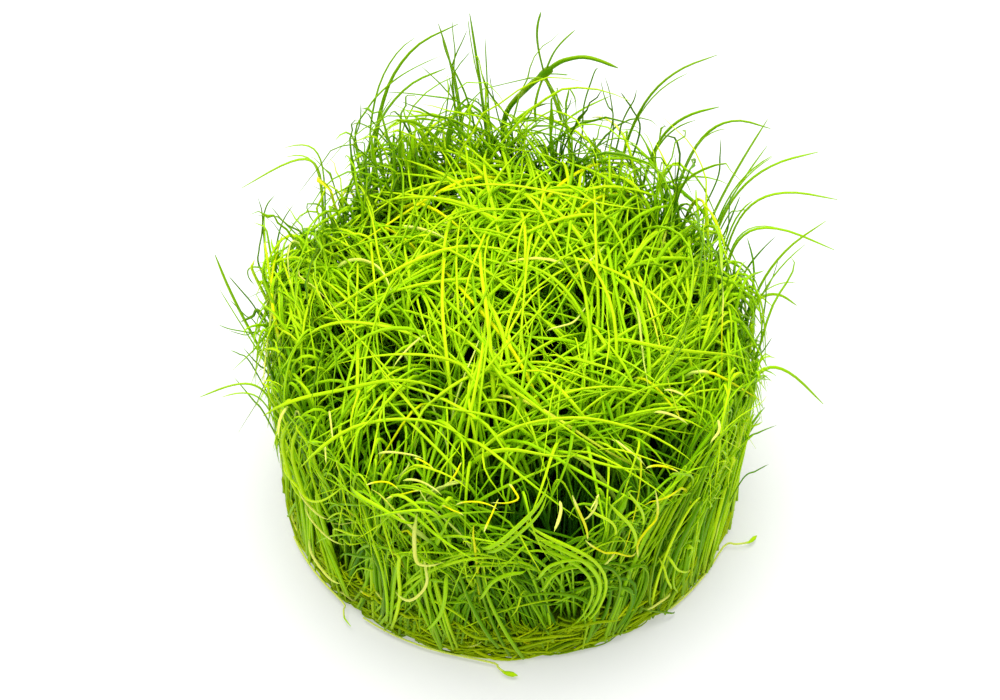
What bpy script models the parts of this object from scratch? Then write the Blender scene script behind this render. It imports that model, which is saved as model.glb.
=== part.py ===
"""Dwarf hairgrass grown in a culture cup and tipped out as one plug: a root mat, the plantlets that
crowd it, the long blades that stray past its rim, a daughter sprig and the runners round its foot.

Every blade is grown in one way. A facet of a crown, or the end of a stalk, is extruded ring by ring
along a Bezier curve and drawn to a point. Each new blade keeps clear of all that stand already.
"""

import bisect
import math
import random

import bmesh
import bpy
import numpy as np
from mathutils import Matrix, Vector
from mathutils.geometry import interpolate_bezier

UP = Vector((0, 0, 1))

# Driving sizes in metres. The origin is the middle of the foot, on the surface it rests on.
FOOT_RADIUS = 0.0320
CANOPY_HEIGHT = 0.0370
CUP_DRAFT = math.radians(2.4)
CANOPY_DOME = 0.0030

# Root mat
MAT_HEIGHT = 0.0065
FOOT_CHAMFER = 0.0007
STRAND_DEPTH = 0.0004
STRAND_ROWS = 3
MAT_SEGMENTS = 40

# Clearances
SEAT_GAP = 0.0003
BLADE_GAP = 0.0004
CROWN_GAP = 0.0006
SAMPLE_STEP = 0.0009

# Plantlets
CROWN_RADIUS = 0.0034
CROWN_HEIGHT = 0.0028
CROWN_WAIST = 0.80
BLADES_PER_CROWN = 7

# Blades: the strays are rooted on the rim of the mat, outside the last ring of crowns.
BLADE_RADIUS = 0.00064
STRAY_RADIUS = 0.00050
STRAY_SETBACK = 0.0011
TIP_SHARE = 0.40
BLADE_RINGS = 4
STRAY_RINGS = 7
STRAY_SIDES = 5

# Crowns stand in rings about the middle, as many in each ring as given, out to the strays.
RING_COUNTS = (1, 6, 11, 17)
LAST_RING = FOOT_RADIUS - STRAY_SETBACK - STRAY_RADIUS - CROWN_RADIUS - CROWN_GAP
RING_PITCH = LAST_RING / (len(RING_COUNTS) - 1)

# How a blade grows: shares of its height, unless said otherwise
RISE_RANGE = (0.85, 1.30)
TIP_RANGE = (0.62, 1.02)
FLOP_RANGE = (0.008, 0.026)
SHOULDER_OUT = 0.45
SHOULDER_UP = 0.18
SHEATH_SHARE = 0.42
CROWN_SPREAD = 0.35
TURN_INWARD = 0.45
SHORTEST_RISE = 0.35
LEAST_BLADE = 0.006
TRIES = 120
SEED = 11

# Runners and the daughter sprig
RUNNER_RADIUS = 0.00045
RUNNER_STEP = math.radians(9)
BUD_RADIUS = 0.00080
BUD_LENGTH = 0.0034
SPRIG_STALK = 0.00055
SPRIG_NODE = 0.0011
LEAF_LIFT = 0.25
LEAF_DROOP = 0.12

# Hand-set blades are written for the cup they were measured in, and follow the sizes above.
MEASURED_RADIUS = 0.0320
MEASURED_HEIGHT = 0.0370

# name: root azimuth in degrees, height of the straight rise, then the shoulder and the tip, all in
# millimetres
STRAYS = {
    "stray_left_tall": (173, 18, (-36.5, 4, 28), (-38.6, 4, 41)),
    "stray_left_low": (196, 30, (-31, -9, 34), (-40.8, -9, 27.6)),
    "stray_left_arch": (147, 42, (-20, 17.5, 53), (-36.3, 18.5, 38.8)),
    "stray_back_left_high": (127, 33, (-21, 28, 54), (-6.9, 27, 60.5)),
    "stray_back_left_fork": (136, 31, (-20, 25, 51), (-8.6, 24.5, 55)),
    "stray_back_tall_left": (101, 30, (-6.5, 30, 46), (-9.6, 30.5, 57.5)),
    "stray_back_tall_right": (94, 28, (-4, 29, 48), (-5.4, 28.5, 61)),
    "stray_back_right_high": (63, 38, (16, 28, 50), (27.4, 28, 54.2)),
    "stray_back_right_mid": (56, 36, (18.5, 26, 44.5), (28.1, 26, 46.7)),
    "stray_back_right_arch": (47, 36, (24, 23, 52), (34.8, 22.5, 46)),
    "stray_right_upright": (39, 25, (29, 19.5, 38), (33.8, 19.5, 50.5)),
    "stray_right_upper": (32, 33, (28, 17, 44), (40.6, 17, 47)),
    "stray_right_arch": (25, 36, (28, 13.5, 47), (43.4, 13.5, 41.6)),
    "stray_right_inner": (21, 30, (25, 9, 49), (42.9, 8, 37.7)),
    "stray_right_mid": (17, 24, (34, 10, 31), (39.5, 11, 23.4)),
    "stray_right_rising": (8, 25, (30, 4, 38), (40.4, 4, 47.3)),
    "stray_right_low": (-15, 28, (30, -8, 42), (41.3, -8, 25)),
}

# The sprig's stalk is set as the strays are. Its leaves have a heading and a pitch in degrees, and a
# length in millimetres.
SPRIG_ROOT = (87, 30, (-2, 30.5, 42), (4.6, 30, 49.0))
SPRIG_LEAVES = (
    (-10, 80, 11.5),
    (8, 42, 12),
    (-12, 4, 10),
    (-40, -35, 6),
    (172, -40, 6),
    (200, 25, 5),
)

# name: azimuths where the runner leaves the mat and where its bud lies, how far out the bud lies
# past the mat, and how high the strand runs, in degrees and metres
RUNNERS = {
    "runner_front": (-128, -94, 0.0012, 0.0009),
    "runner_front_left": (-158, -134, 0.0010, 0.0012),
    "runner_right": (-48, -24, 0.0022, 0.0009),
    "runner_back": (62, 98, 0.0016, 0.0010),
}


def compass(azimuth):
    """A level unit vector, azimuth in radians."""
    return Vector((math.cos(azimuth), math.sin(azimuth), 0))


def cup_radius(height):
    """The cup's inner wall, which the plug keeps the shape of."""
    return FOOT_RADIUS + height * math.tan(CUP_DRAFT)


def canopy_height(point):
    """The height of the canopy over a point, a low dome."""
    share = min(1, math.hypot(point[0], point[1]) / FOOT_RADIUS)
    return CANOPY_HEIGHT + CANOPY_DOME * (1 - share**2)


def measured(point):
    """A hand-measured point in millimetres, carried to the present cup."""
    across = FOOT_RADIUS / MEASURED_RADIUS / 1000
    upward = CANOPY_HEIGHT / MEASURED_HEIGHT / 1000
    return Vector((point[0] * across, point[1] * across, point[2] * upward))


def new_material(name, colour, roughness):
    material = bpy.data.materials.new(name)
    material.use_nodes = True
    shader = material.node_tree.nodes["Principled BSDF"]
    shader.inputs["Base Color"].default_value = (*colour, 1)
    shader.inputs["Roughness"].default_value = roughness
    shader.inputs["Metallic"].default_value = 0
    material.diffuse_color = (*colour, 1)
    return material


def add_piece(bm, name, material, place, plug):
    """Turns a bmesh into an object of its own, set at its place and parented to the plug."""
    rims = [edge for edge in bm.edges if edge.is_boundary]
    bmesh.ops.holes_fill(bm, edges=rims, sides=0)
    bmesh.ops.recalc_face_normals(bm, faces=bm.faces)
    mesh = bpy.data.meshes.new(name)
    bm.to_mesh(mesh)
    bm.free()
    mesh.materials.append(material)
    mesh.shade_smooth()
    mesh.set_sharp_from_angle(angle=math.radians(50))
    piece = bpy.data.objects.new(name, mesh)
    bpy.context.scene.collection.objects.link(piece)
    piece.parent = plug
    piece.location = place.to_translation()
    piece.rotation_euler = place.to_euler()
    return piece


class Clearance:
    """Balls along everything that stands so far, which a new blade has to keep clear of."""

    def __init__(self):
        self.centres = np.empty((0, 3))
        self.radii = np.empty(0)

    def add(self, centres, radii):
        self.centres = np.vstack([self.centres, centres])
        self.radii = np.append(self.radii, radii)

    def is_clear(self, centres, radii):
        reach = radii.max() + BLADE_GAP + CROWN_RADIUS
        low, high = centres.min(axis=0) - reach, centres.max(axis=0) + reach
        near = ((self.centres > low) & (self.centres < high)).all(axis=1)
        apart = np.linalg.norm(centres[:, None] - self.centres[near][None], axis=2)
        return bool((apart > radii[:, None] + self.radii[near][None] + BLADE_GAP).all())


def balls_along(stations, radii):
    """Centres and radii at even steps along the straight stretches between a blade's rings."""
    centres, sizes = [], []
    for start, end, size, next_size in zip(stations, stations[1:], radii, radii[1:]):
        steps = max(1, math.ceil((end - start).length / SAMPLE_STEP))
        for step in range(steps):
            share = step / steps
            centres.append(start.lerp(end, share))
            sizes.append(size + (next_size - size) * share)
    centres.append(stations[-1])
    sizes.append(radii[-1])
    return np.array(centres), np.array(sizes)


def tapered(radius, count):
    """Ring radii along a blade of so many stations: full for the first stretch, then drawn fine."""
    shares = [step / (count - 1) for step in range(count)]
    return [radius * (1 - (1 - TIP_SHARE) * share**1.6) for share in shares]


def grow(bm, face, stations, radii, pointed=True):
    """Extrudes a face into a blade with a ring at each station, its last ring drawn to a point."""
    centre = face.calc_center_median()
    axis = (stations[0] - centre).normalized()
    side = (face.verts[0].co - centre).normalized()
    side = (side - axis * side.dot(axis)).normalized()
    across = axis.cross(side)
    angles = [math.atan2((v.co - centre).dot(across), (v.co - centre).dot(side)) for v in face.verts]
    for number, (station, radius) in enumerate(zip(stations, radii)):
        before = stations[number - 1] if number else centre
        after = stations[min(number + 1, len(stations) - 1)]
        turn = axis.rotation_difference((after - before).normalized())
        axis, side, across = turn @ axis, turn @ side, turn @ across
        face = bmesh.ops.extrude_discrete_faces(bm, faces=[face])["faces"][0]
        for vert, angle in zip(face.verts, angles):
            vert.co = station + radius * (math.cos(angle) * side + math.sin(angle) * across)
    if pointed:
        bmesh.ops.pointmerge(bm, verts=face.verts[:], merge_co=stations[-1])
    return face


def bezier(root, rise, shoulder, tip, rings):
    """The stations of a blade that rises straight, comes over its shoulder and ends at its tip."""
    return interpolate_bezier(root, rise, shoulder, tip, rings + 1)


def flat_end(bm, centre, axis, radius, sides):
    """A round face across an axis, from which a stalk or a blade is grown."""
    turn = UP.rotation_difference(axis).to_matrix().to_4x4()
    made = bmesh.ops.create_circle(
        bm,
        cap_ends=True,
        segments=sides,
        radius=radius,
        matrix=Matrix.Translation(centre) @ turn,
    )
    return made["verts"][0].link_faces[0]


def make_root_mat(material, plug):
    """A felted disc: its side is turned to the cup's draft, with the bulges of the strands in it."""
    bm = bmesh.new()
    rings = [(FOOT_RADIUS - FOOT_CHAMFER, 0), (FOOT_RADIUS, FOOT_CHAMFER)]
    side = MAT_HEIGHT - 2 * FOOT_CHAMFER
    for row in range(2 * STRAND_ROWS - 1):
        height = FOOT_CHAMFER + side * (row + 1) / (2 * STRAND_ROWS)
        rings.append((cup_radius(height) - STRAND_DEPTH * ((row + 1) % 2), height))
    rings.append((cup_radius(MAT_HEIGHT - FOOT_CHAMFER), MAT_HEIGHT - FOOT_CHAMFER))
    rings.append((cup_radius(MAT_HEIGHT) - FOOT_CHAMFER / 2, MAT_HEIGHT))
    profile = [bm.verts.new((radius, 0, height)) for radius, height in rings]
    edges = [bm.edges.new(pair) for pair in zip(profile, profile[1:])]
    bmesh.ops.spin(
        bm,
        geom=profile + edges,
        axis=UP,
        cent=(0, 0, 0),
        steps=MAT_SEGMENTS,
        angle=math.tau,
        use_merge=True,
        use_duplicate=False,
    )
    bmesh.ops.remove_doubles(bm, verts=bm.verts, dist=1e-6)
    # The strands dip and climb as they go round, away from the flat top and the flat foot.
    for vert in bm.verts:
        if FOOT_CHAMFER < vert.co.z < MAT_HEIGHT - FOOT_CHAMFER:
            azimuth = math.atan2(vert.co.y, vert.co.x)
            vert.co.z += STRAND_DEPTH * math.sin(3 * azimuth + vert.co.z / STRAND_DEPTH)
    return add_piece(bm, "root_mat", material, Matrix(), plug)


def seat(azimuth, radius):
    """A point just above the mat's flat top."""
    return compass(math.radians(azimuth)) * radius + UP * (MAT_HEIGHT + SEAT_GAP)


def stray_stations(row):
    """A hand-set blade: up the cup's wall from the rim, over its shoulder and out to its tip."""
    azimuth, rise, shoulder, tip = row
    root = seat(azimuth, FOOT_RADIUS - STRAY_SETBACK)
    level = compass(math.radians(azimuth)) * (cup_radius(CANOPY_HEIGHT) - STRAY_SETBACK)
    top = level + UP * measured((0, 0, rise)).z
    return bezier(root, top, measured(shoulder), measured(tip), STRAY_RINGS)


def make_stray(name, row, material, plug, clearance):
    """One long blade from its seat on the mat to a tip outside the canopy."""
    stations = stray_stations(row)
    radii = tapered(STRAY_RADIUS, len(stations))
    keep_clear(clearance, name, stations, radii)
    bm = bmesh.new()
    base = stations[0].copy()
    face = flat_end(bm, Vector(), UP, radii[0], STRAY_SIDES)
    grow(bm, face, [station - base for station in stations[1:]], radii[1:])
    return add_piece(bm, name, material, Matrix.Translation(base), plug)


def keep_clear(clearance, name, stations, radii):
    """Claims the space of a hand-set piece, and says so where it crosses another."""
    centres, sizes = balls_along(stations, radii)
    if not clearance.is_clear(centres, sizes):
        print(f"{name} crosses another piece")
    clearance.add(centres, sizes)


def make_sprig(material, plug, clearance):
    """A plantlet on the end of its own stalk: the stalk swells to a node, whose facets are leaves."""
    stations = stray_stations(SPRIG_ROOT)
    radii = [SPRIG_STALK] * len(stations)
    radii[-1] = SPRIG_NODE
    base = stations[0].copy()
    bm = bmesh.new()
    face = flat_end(bm, Vector(), UP, radii[0], len(SPRIG_LEAVES))
    face = grow(bm, face, [station - base for station in stations[1:]], radii[1:], pointed=False)
    keep_clear(clearance, "the sprig's stalk", stations, radii)
    node = stations[-1] - base
    facets = bmesh.ops.poke(bm, faces=[face])["faces"]
    for azimuth, pitch, length in SPRIG_LEAVES:
        level, upward = math.cos(math.radians(pitch)), math.sin(math.radians(pitch))
        heading = compass(math.radians(azimuth)) * level + UP * upward
        facet = max(facets, key=lambda f: (f.calc_center_median() - node).dot(heading))
        facets.remove(facet)
        root = facet.calc_center_median()
        run = measured((length, 0, 0)).length
        bend = (heading + UP * LEAF_LIFT) * run
        tip = root + (heading - UP * LEAF_DROOP) * run
        path = bezier(root, root + bend / 3, root + bend * 2 / 3, tip, BLADE_RINGS)
        leaf_radii = tapered(SPRIG_STALK, len(path))
        grow(bm, facet, path[1:], leaf_radii[1:])
        clearance.add(*balls_along([point + base for point in path[1:]], leaf_radii[1:]))
    return add_piece(bm, "daughter_sprig", material, Matrix.Translation(base), plug)


def make_runner(name, row, material, plug):
    """A strand that hugs the mat's side and turns out to a bud lying on the surface."""
    start, end, outward, height = row
    start, end = math.radians(start), math.radians(end)
    steps = max(3, round(abs(end - start) / RUNNER_STEP))
    hug = cup_radius(height) + SEAT_GAP + RUNNER_RADIUS
    stations, radii = [], []
    for step in range(steps + 1):
        share = step / steps
        away = outward * share**2
        stations.append(compass(start + (end - start) * share) * (hug + away) + UP * height)
        radii.append(RUNNER_RADIUS)
    along = (stations[-1] - stations[-2]).normalized()
    for share, radius in ((0.2, BUD_RADIUS), (0.5, BUD_RADIUS), (1, RUNNER_RADIUS)):
        stations.append(stations[steps] + along * BUD_LENGTH * share)
        radii.append(min(radius, height))
    base = stations[0].copy()
    bm = bmesh.new()
    face = flat_end(bm, Vector(), stations[1] - base, radii[0], STRAY_SIDES)
    grow(bm, face, [station - base for station in stations[1:]], radii[1:])
    return add_piece(bm, name, material, Matrix.Translation(base), plug)


def crown_places():
    """Where each plantlet stands: rings about the middle, each ring turned against the last."""
    places = []
    for ring, count in enumerate(RING_COUNTS):
        for index in range(count):
            azimuth = 360 * (index + 0.5 * (ring % 2)) / count
            places.append((azimuth, ring * RING_PITCH))
    return places


def wanted_blade(root, crown, draw, slack):
    """A blade that rises with the cup's draft and flops over at the canopy, less as slack runs out."""
    outward = Vector((crown.x, crown.y, 0)) / FOOT_RADIUS
    height = canopy_height(root) - root.z
    spread = Vector((root.x - crown.x, root.y - crown.y, 0)) * CROWN_SPREAD
    lean = outward * height * math.tan(CUP_DRAFT) + spread
    climb = height * draw.uniform(*RISE_RANGE) * (SHORTEST_RISE + (1 - SHORTEST_RISE) * slack)
    rise = root + lean + UP * climb
    inward = math.atan2(-root.y, -root.x)
    freedom = math.pi * (1 - TURN_INWARD * outward.length)
    flop = compass(inward + draw.uniform(-freedom, freedom)) * draw.uniform(*FLOP_RANGE) * slack
    tip = rise + flop
    tip.z = root.z + max(LEAST_BLADE, climb * draw.uniform(*TIP_RANGE))
    shoulder = rise + flop * SHOULDER_OUT + UP * climb * SHOULDER_UP * slack
    stations = bezier(root, rise, shoulder, tip, BLADE_RINGS)
    # The cup pressed in whatever would have passed its wall.
    for station in stations:
        level = math.hypot(station.x, station.y)
        most = cup_radius(station.z) - BLADE_RADIUS
        if level > most:
            station.x *= most / level
            station.y *= most / level
    return stations


def clear_blade(root, crown, draw, clearance):
    """Tries blades until one is clear of all that stands, each try a little shorter."""
    for attempt in range(TRIES):
        slack = min(1, 1.5 * (1 - attempt / TRIES))
        stations = wanted_blade(root, crown, draw, slack)
        stations[0] = root.lerp(stations[1], SHEATH_SHARE)
        radii = tapered(BLADE_RADIUS, len(stations))
        centres, sizes = balls_along(stations, radii)
        if clearance.is_clear(centres, sizes):
            break
    clearance.add(centres, sizes)
    return stations, radii


def make_tuft(name, azimuth, radius, material, plug, clearance, draw):
    """A plantlet: a crown with a side for each blade, whose top facets grow out as the blades."""
    crown = seat(azimuth, radius)
    place = Matrix.Translation(crown) @ Matrix.Rotation(math.radians(azimuth), 4, "Z")
    bm = bmesh.new()
    bmesh.ops.create_cone(
        bm,
        cap_ends=True,
        cap_tris=True,
        segments=BLADES_PER_CROWN,
        radius1=CROWN_RADIUS * CROWN_WAIST,
        radius2=CROWN_RADIUS,
        depth=CROWN_HEIGHT,
        matrix=Matrix.Translation(UP * CROWN_HEIGHT / 2),
    )
    facets = [face for face in bm.faces if face.calc_center_median().z > CROWN_HEIGHT * 0.99]
    local = place.inverted()
    for facet in facets:
        root = place @ facet.calc_center_median()
        stations, radii = clear_blade(root, crown, draw, clearance)
        grow(bm, facet, [local @ station for station in stations], radii)
    return add_piece(bm, name, material, place, plug)


def claim_crowns(clearance, places):
    """Keeps blades out of the crowns, which all stand before any blade is grown."""
    for azimuth, radius in places:
        foot = seat(azimuth, radius)
        stations = [foot, foot + UP * (CROWN_HEIGHT - CROWN_RADIUS / 2)]
        centres, sizes = balls_along(stations, [CROWN_RADIUS - BLADE_GAP] * 2)
        clearance.add(centres, sizes)


def main():
    for leftover in list(bpy.data.objects):
        bpy.data.objects.remove(leftover)
    draw = random.Random(SEED)
    plug = bpy.data.objects.new("hairgrass_plug", None)
    bpy.context.scene.collection.objects.link(plug)

    felt = new_material("root_felt", (0.12, 0.16, 0.02), 0.75)
    greens = [
        new_material("blade_deep_green", (0.10, 0.26, 0.01), 0.45),
        new_material("blade_green", (0.22, 0.42, 0.01), 0.45),
        new_material("blade_lime", (0.38, 0.58, 0.02), 0.45),
    ]
    stray_green = new_material("stray_green", (0.16, 0.33, 0.02), 0.45)
    pale = new_material("runner_pale_green", (0.52, 0.60, 0.22), 0.5)

    clearance = Clearance()
    places = crown_places()
    make_root_mat(felt, plug)
    claim_crowns(clearance, places)
    for name, row in STRAYS.items():
        make_stray(name, row, stray_green, plug, clearance)
    make_sprig(stray_green, plug, clearance)
    for name, row in RUNNERS.items():
        make_runner(name, row, pale, plug)
    # The outer rings had the cup's wall to climb, so they keep their height and grow first.
    for number, (azimuth, radius) in reversed(list(enumerate(places, start=1))):
        green = greens[bisect.bisect((0.3, 0.7), draw.random())]
        make_tuft(f"tuft_{number:02d}", azimuth, radius, green, plug, clearance, draw)


main()
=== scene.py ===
# %% [markdown]
# # A plug of dwarf hairgrass
#
# Hairgrass is a water plant whose whole body is thin green blades. This plug grew in a round cup,
# was tipped out of it, and kept the cup's shape: a felt of roots at the foot, a wall of blades that
# the cup combed upright, and a canopy where they all fall over one another.
#
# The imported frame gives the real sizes. This lesson dresses it blade by blade.

# %% Load the frame
import itertools
import math

import bmesh
import bpy
import numpy as np
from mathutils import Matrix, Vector


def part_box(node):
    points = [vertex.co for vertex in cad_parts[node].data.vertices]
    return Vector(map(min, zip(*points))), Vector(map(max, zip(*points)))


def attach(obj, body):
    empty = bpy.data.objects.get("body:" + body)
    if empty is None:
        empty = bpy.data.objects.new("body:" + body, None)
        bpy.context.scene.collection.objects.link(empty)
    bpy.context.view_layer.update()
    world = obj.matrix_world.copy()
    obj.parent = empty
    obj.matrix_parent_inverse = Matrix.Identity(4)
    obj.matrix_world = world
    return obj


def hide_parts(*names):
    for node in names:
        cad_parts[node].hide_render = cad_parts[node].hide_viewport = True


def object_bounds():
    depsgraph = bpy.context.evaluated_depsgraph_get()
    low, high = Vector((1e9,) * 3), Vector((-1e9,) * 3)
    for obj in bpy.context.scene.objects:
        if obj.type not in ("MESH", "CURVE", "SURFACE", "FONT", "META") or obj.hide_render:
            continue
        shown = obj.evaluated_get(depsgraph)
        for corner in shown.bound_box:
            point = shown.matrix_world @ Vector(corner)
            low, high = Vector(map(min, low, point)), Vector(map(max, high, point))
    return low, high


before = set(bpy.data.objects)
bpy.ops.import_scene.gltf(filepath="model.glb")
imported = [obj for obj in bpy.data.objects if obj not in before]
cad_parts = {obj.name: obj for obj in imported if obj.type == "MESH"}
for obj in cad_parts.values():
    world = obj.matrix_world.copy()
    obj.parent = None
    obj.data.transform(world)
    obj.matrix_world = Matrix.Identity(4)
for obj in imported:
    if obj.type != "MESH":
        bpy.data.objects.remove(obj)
frame_box = [list(corner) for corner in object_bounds()]
print("frame box in millimetres:", [[round(v * 1000, 1) for v in corner] for corner in frame_box])

# %% [markdown]
# ## Sizes
#
# The mat's own node says how high the mat is. The foot's radius, the cup's draft and the height of
# the rim are the part's own driving sizes, and every blade is placed by them. The blades are drawn
# in millimetres, because they are a fraction of one across, and go to metres once.

# %% Sizes from the frame
MM = 0.001
mat_low, mat_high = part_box("root_mat")
MAT_TOP = mat_high.z / MM
FOOT_RADIUS = 32.0
CUP_DRAFT = math.tan(math.radians(2.4))
RIM_HEIGHT = 37.0
DOME = 3.0
SPRING_FROM = 29
SPRING = 0.012
print(f"mat {(mat_high.x - mat_low.x) / MM:.1f} mm across, {MAT_TOP:.1f} mm high")


def cup_radius(height):
    """The cup's wall, which opens upwards. Past the rim the blades spring out a little."""
    relaxed = np.maximum(0, np.asarray(height) - SPRING_FROM) ** 2 * SPRING
    return FOOT_RADIUS + CUP_DRAFT * np.asarray(height) + relaxed


def canopy_height(x, y):
    """The top of the canopy: a low dome with slow swells, higher at the back."""
    dome = DOME * (1 - np.clip(np.hypot(x, y) / FOOT_RADIUS, 0, 1) ** 2)
    swells = 1.1 * np.sin(x / 5.3 + 1.0) * np.sin(y / 6.1 + 0.4) + 0.8 * np.sin((x - y) / 3.7)
    slope = 0.07 * y
    back = 0.0042 * np.maximum(y, 0) ** 2
    return RIM_HEIGHT + dome + swells + slope + back


print(f"rim {cup_radius(RIM_HEIGHT):.1f} mm from the axis, canopy {canopy_height(0.0, 0.0):.1f} mm high")


# %% [markdown]
# ## Camera, floor and light
#
# The picture is taken from above the front, through a long lens. The circle of the foot and the
# circle of the rim fix the camera's height and distance.
#
# The light is one large soft lamp overhead and a pale sky all round. The blades on top then come out
# bright, and those deep in the plug fall into shade by themselves. Many small lamps could do this
# too, but each would leave a hard shadow of its own on the floor.
#
# The plug stands on white with no horizon. Near it the floor glows a little and still takes its soft
# shadow. Far off, where the lamp no longer reaches, it glows more. The sky lights the plug at half
# strength, and only the camera sees it as plain white.

# %% Camera
CAMERA_PLACE = Vector((-1.43, -207.42, 265.28)) * MM
CAMERA_AIM = Vector((-1.43, 5.8, 20.0)) * MM
camera_data = bpy.data.cameras.new("camera")
camera_data.lens = 85
camera_data.sensor_width = 36
camera_data.clip_start = 0.01
camera = bpy.data.objects.new("camera", camera_data)
camera.location = CAMERA_PLACE
camera.rotation_euler = (CAMERA_AIM - CAMERA_PLACE).to_track_quat("-Z", "Y").to_euler()
bpy.context.scene.collection.objects.link(camera)
bpy.context.scene.camera = camera
bpy.context.scene.view_settings.view_transform = "Standard"

# %% Floor
FLOOR_SIZE = 4.0
FLOOR_DROP = 0.00005
FLOOR_GREY = (0.60, 0.60, 0.60, 1)
WHITE = (1, 1, 1, 1)
# How far from the plug the glow starts to grow and stops growing, and how strong it is there.
FLOOR_GLOW = {"From Min": 0.2, "To Min": 0.36, "From Max": 1.2, "To Max": 0.75}
floor_mesh = bpy.data.meshes.new("floor")
reach = FLOOR_SIZE / 2
floor_mesh.from_pydata(
    [(-reach, -reach, 0), (reach, -reach, 0), (reach, reach, 0), (-reach, reach, 0)],
    [],
    [(0, 1, 2, 3)],
)
floor = bpy.data.objects.new("floor", floor_mesh)
floor.location.z = -FLOOR_DROP
bpy.context.scene.collection.objects.link(floor)
floor_paint = bpy.data.materials.new("floor_white")
floor_paint.use_nodes = True
floor_shader = floor_paint.node_tree.nodes["Principled BSDF"]
floor_shader.inputs["Base Color"].default_value = FLOOR_GREY
floor_shader.inputs["Emission Color"].default_value = WHITE
floor_shader.inputs["Roughness"].default_value = 0.9
floor_shader.inputs["Specular IOR Level"].default_value = 0.0
floor_nodes, floor_links = floor_paint.node_tree.nodes, floor_paint.node_tree.links
floor_place = floor_nodes.new("ShaderNodeTexCoord")
floor_far = floor_nodes.new("ShaderNodeVectorMath")
floor_far.operation = "LENGTH"
floor_glow = floor_nodes.new("ShaderNodeMapRange")
for socket, value in FLOOR_GLOW.items():
    floor_glow.inputs[socket].default_value = value
floor_links.new(floor_place.outputs["Object"], floor_far.inputs[0])
floor_links.new(floor_far.outputs["Value"], floor_glow.inputs["Value"])
floor_links.new(floor_glow.outputs["Result"], floor_shader.inputs["Emission Strength"])
floor_mesh.materials.append(floor_paint)
print(f"floor {FLOOR_SIZE} m across")

# %% Sky and lamp
SKY_ON_PLUG = 0.50
SKY_ON_CAMERA = 1.0
LAMP_SIZE = 1.1
LAMP_POWER = 15.5
LAMP_PLACE = Vector((-0.05, 0.16, 1.1))
world = bpy.data.worlds.new("studio")
world.use_nodes = True
sky_nodes, sky_links = world.node_tree.nodes, world.node_tree.links
sky_nodes["Background"].inputs["Color"].default_value = WHITE
ray = sky_nodes.new("ShaderNodeLightPath")
sky_glow = sky_nodes.new("ShaderNodeMapRange")
sky_glow.inputs["To Min"].default_value = SKY_ON_PLUG
sky_glow.inputs["To Max"].default_value = SKY_ON_CAMERA
sky_links.new(ray.outputs["Is Camera Ray"], sky_glow.inputs["Value"])
sky_links.new(sky_glow.outputs["Result"], sky_nodes["Background"].inputs["Strength"])
bpy.context.scene.world = world
lamp_data = bpy.data.lights.new("overhead", "AREA")
lamp_data.shape = "DISK"
lamp_data.size = LAMP_SIZE
lamp_data.energy = LAMP_POWER
lamp = bpy.data.objects.new("overhead", lamp_data)
lamp.location = LAMP_PLACE
lamp.rotation_euler = (-LAMP_PLACE).to_track_quat("-Z", "Y").to_euler()
bpy.context.scene.collection.objects.link(lamp)
print("camera, floor, sky and lamp are set")

# %% [markdown]
# ## Finishes
#
# A living blade is not one green. Each blade has its own tint, deep green to lime. It pales towards
# its sheath, and some blades have dried to cream, yellow or rust.
#
# A picture wrapped on every blade could show this, but thousands of blades share one finish. So each
# blade carries numbers instead, as attributes that the material reads wherever the blade lies:
# `tint` and `dry` for its colour, `along` from root to tip, `across` once round its section for its
# fine ribs and a painted glow along its edges, and `light` for a painted shade, darker the deeper in the
# plug it lies.


# %% Helpers for materials
def new_finish(name):
    """A new material with its node tree and its Principled shader."""
    finish = bpy.data.materials.new(name)
    finish.use_nodes = True
    tree = finish.node_tree
    return finish, tree, tree.nodes["Principled BSDF"]


def ramp(tree, source, stops):
    """A colour ramp on a value, from (place, colour) stops."""
    node = tree.nodes.new("ShaderNodeValToRGB")
    elements = node.color_ramp.elements
    elements[0].position, elements[0].color = stops[0][0], (*stops[0][1], 1)
    elements[1].position, elements[1].color = stops[-1][0], (*stops[-1][1], 1)
    for place, colour in stops[1:-1]:
        elements.new(place).color = (*colour, 1)
    tree.links.new(source, node.inputs["Fac"])
    return node.outputs["Color"]


def attribute(tree, name):
    """A number that the blades carry."""
    node = tree.nodes.new("ShaderNodeAttribute")
    node.attribute_name = name
    return node.outputs["Fac"]


def calculated(tree, operation, first, second=None):
    """A Math node on a socket, with a second number where the operation takes one."""
    node = tree.nodes.new("ShaderNodeMath")
    node.operation = operation
    tree.links.new(first, node.inputs[0])
    if second is not None:
        node.inputs[1].default_value = second
    return node.outputs[0]


def mix(tree, share, first, second, blend="MIX"):
    """Mixes two colours, each given as a colour or as a socket."""
    node = tree.nodes.new("ShaderNodeMix")
    node.data_type = "RGBA"
    node.blend_type = blend
    for socket, value in (("Factor", share), ("A", first), ("B", second)):
        kind = "Factor_Float" if socket == "Factor" else f"{socket}_Color"
        target = next(i for i in node.inputs if i.identifier == kind)
        if isinstance(value, bpy.types.NodeSocket):
            tree.links.new(value, target)
        elif socket == "Factor":
            target.default_value = value
        else:
            target.default_value = (*value, 1)
    return next(o for o in node.outputs if o.identifier == "Result_Color")


def noise(tree, scale, detail):
    """Noise on the object's own coordinates, in metres."""
    place = tree.nodes.new("ShaderNodeTexCoord")
    node = tree.nodes.new("ShaderNodeTexNoise")
    node.inputs["Scale"].default_value = scale
    node.inputs["Detail"].default_value = detail
    tree.links.new(place.outputs["Object"], node.inputs["Vector"])
    return node.outputs["Fac"]


RIB_HEIGHT = 0.05 * MM


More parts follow.
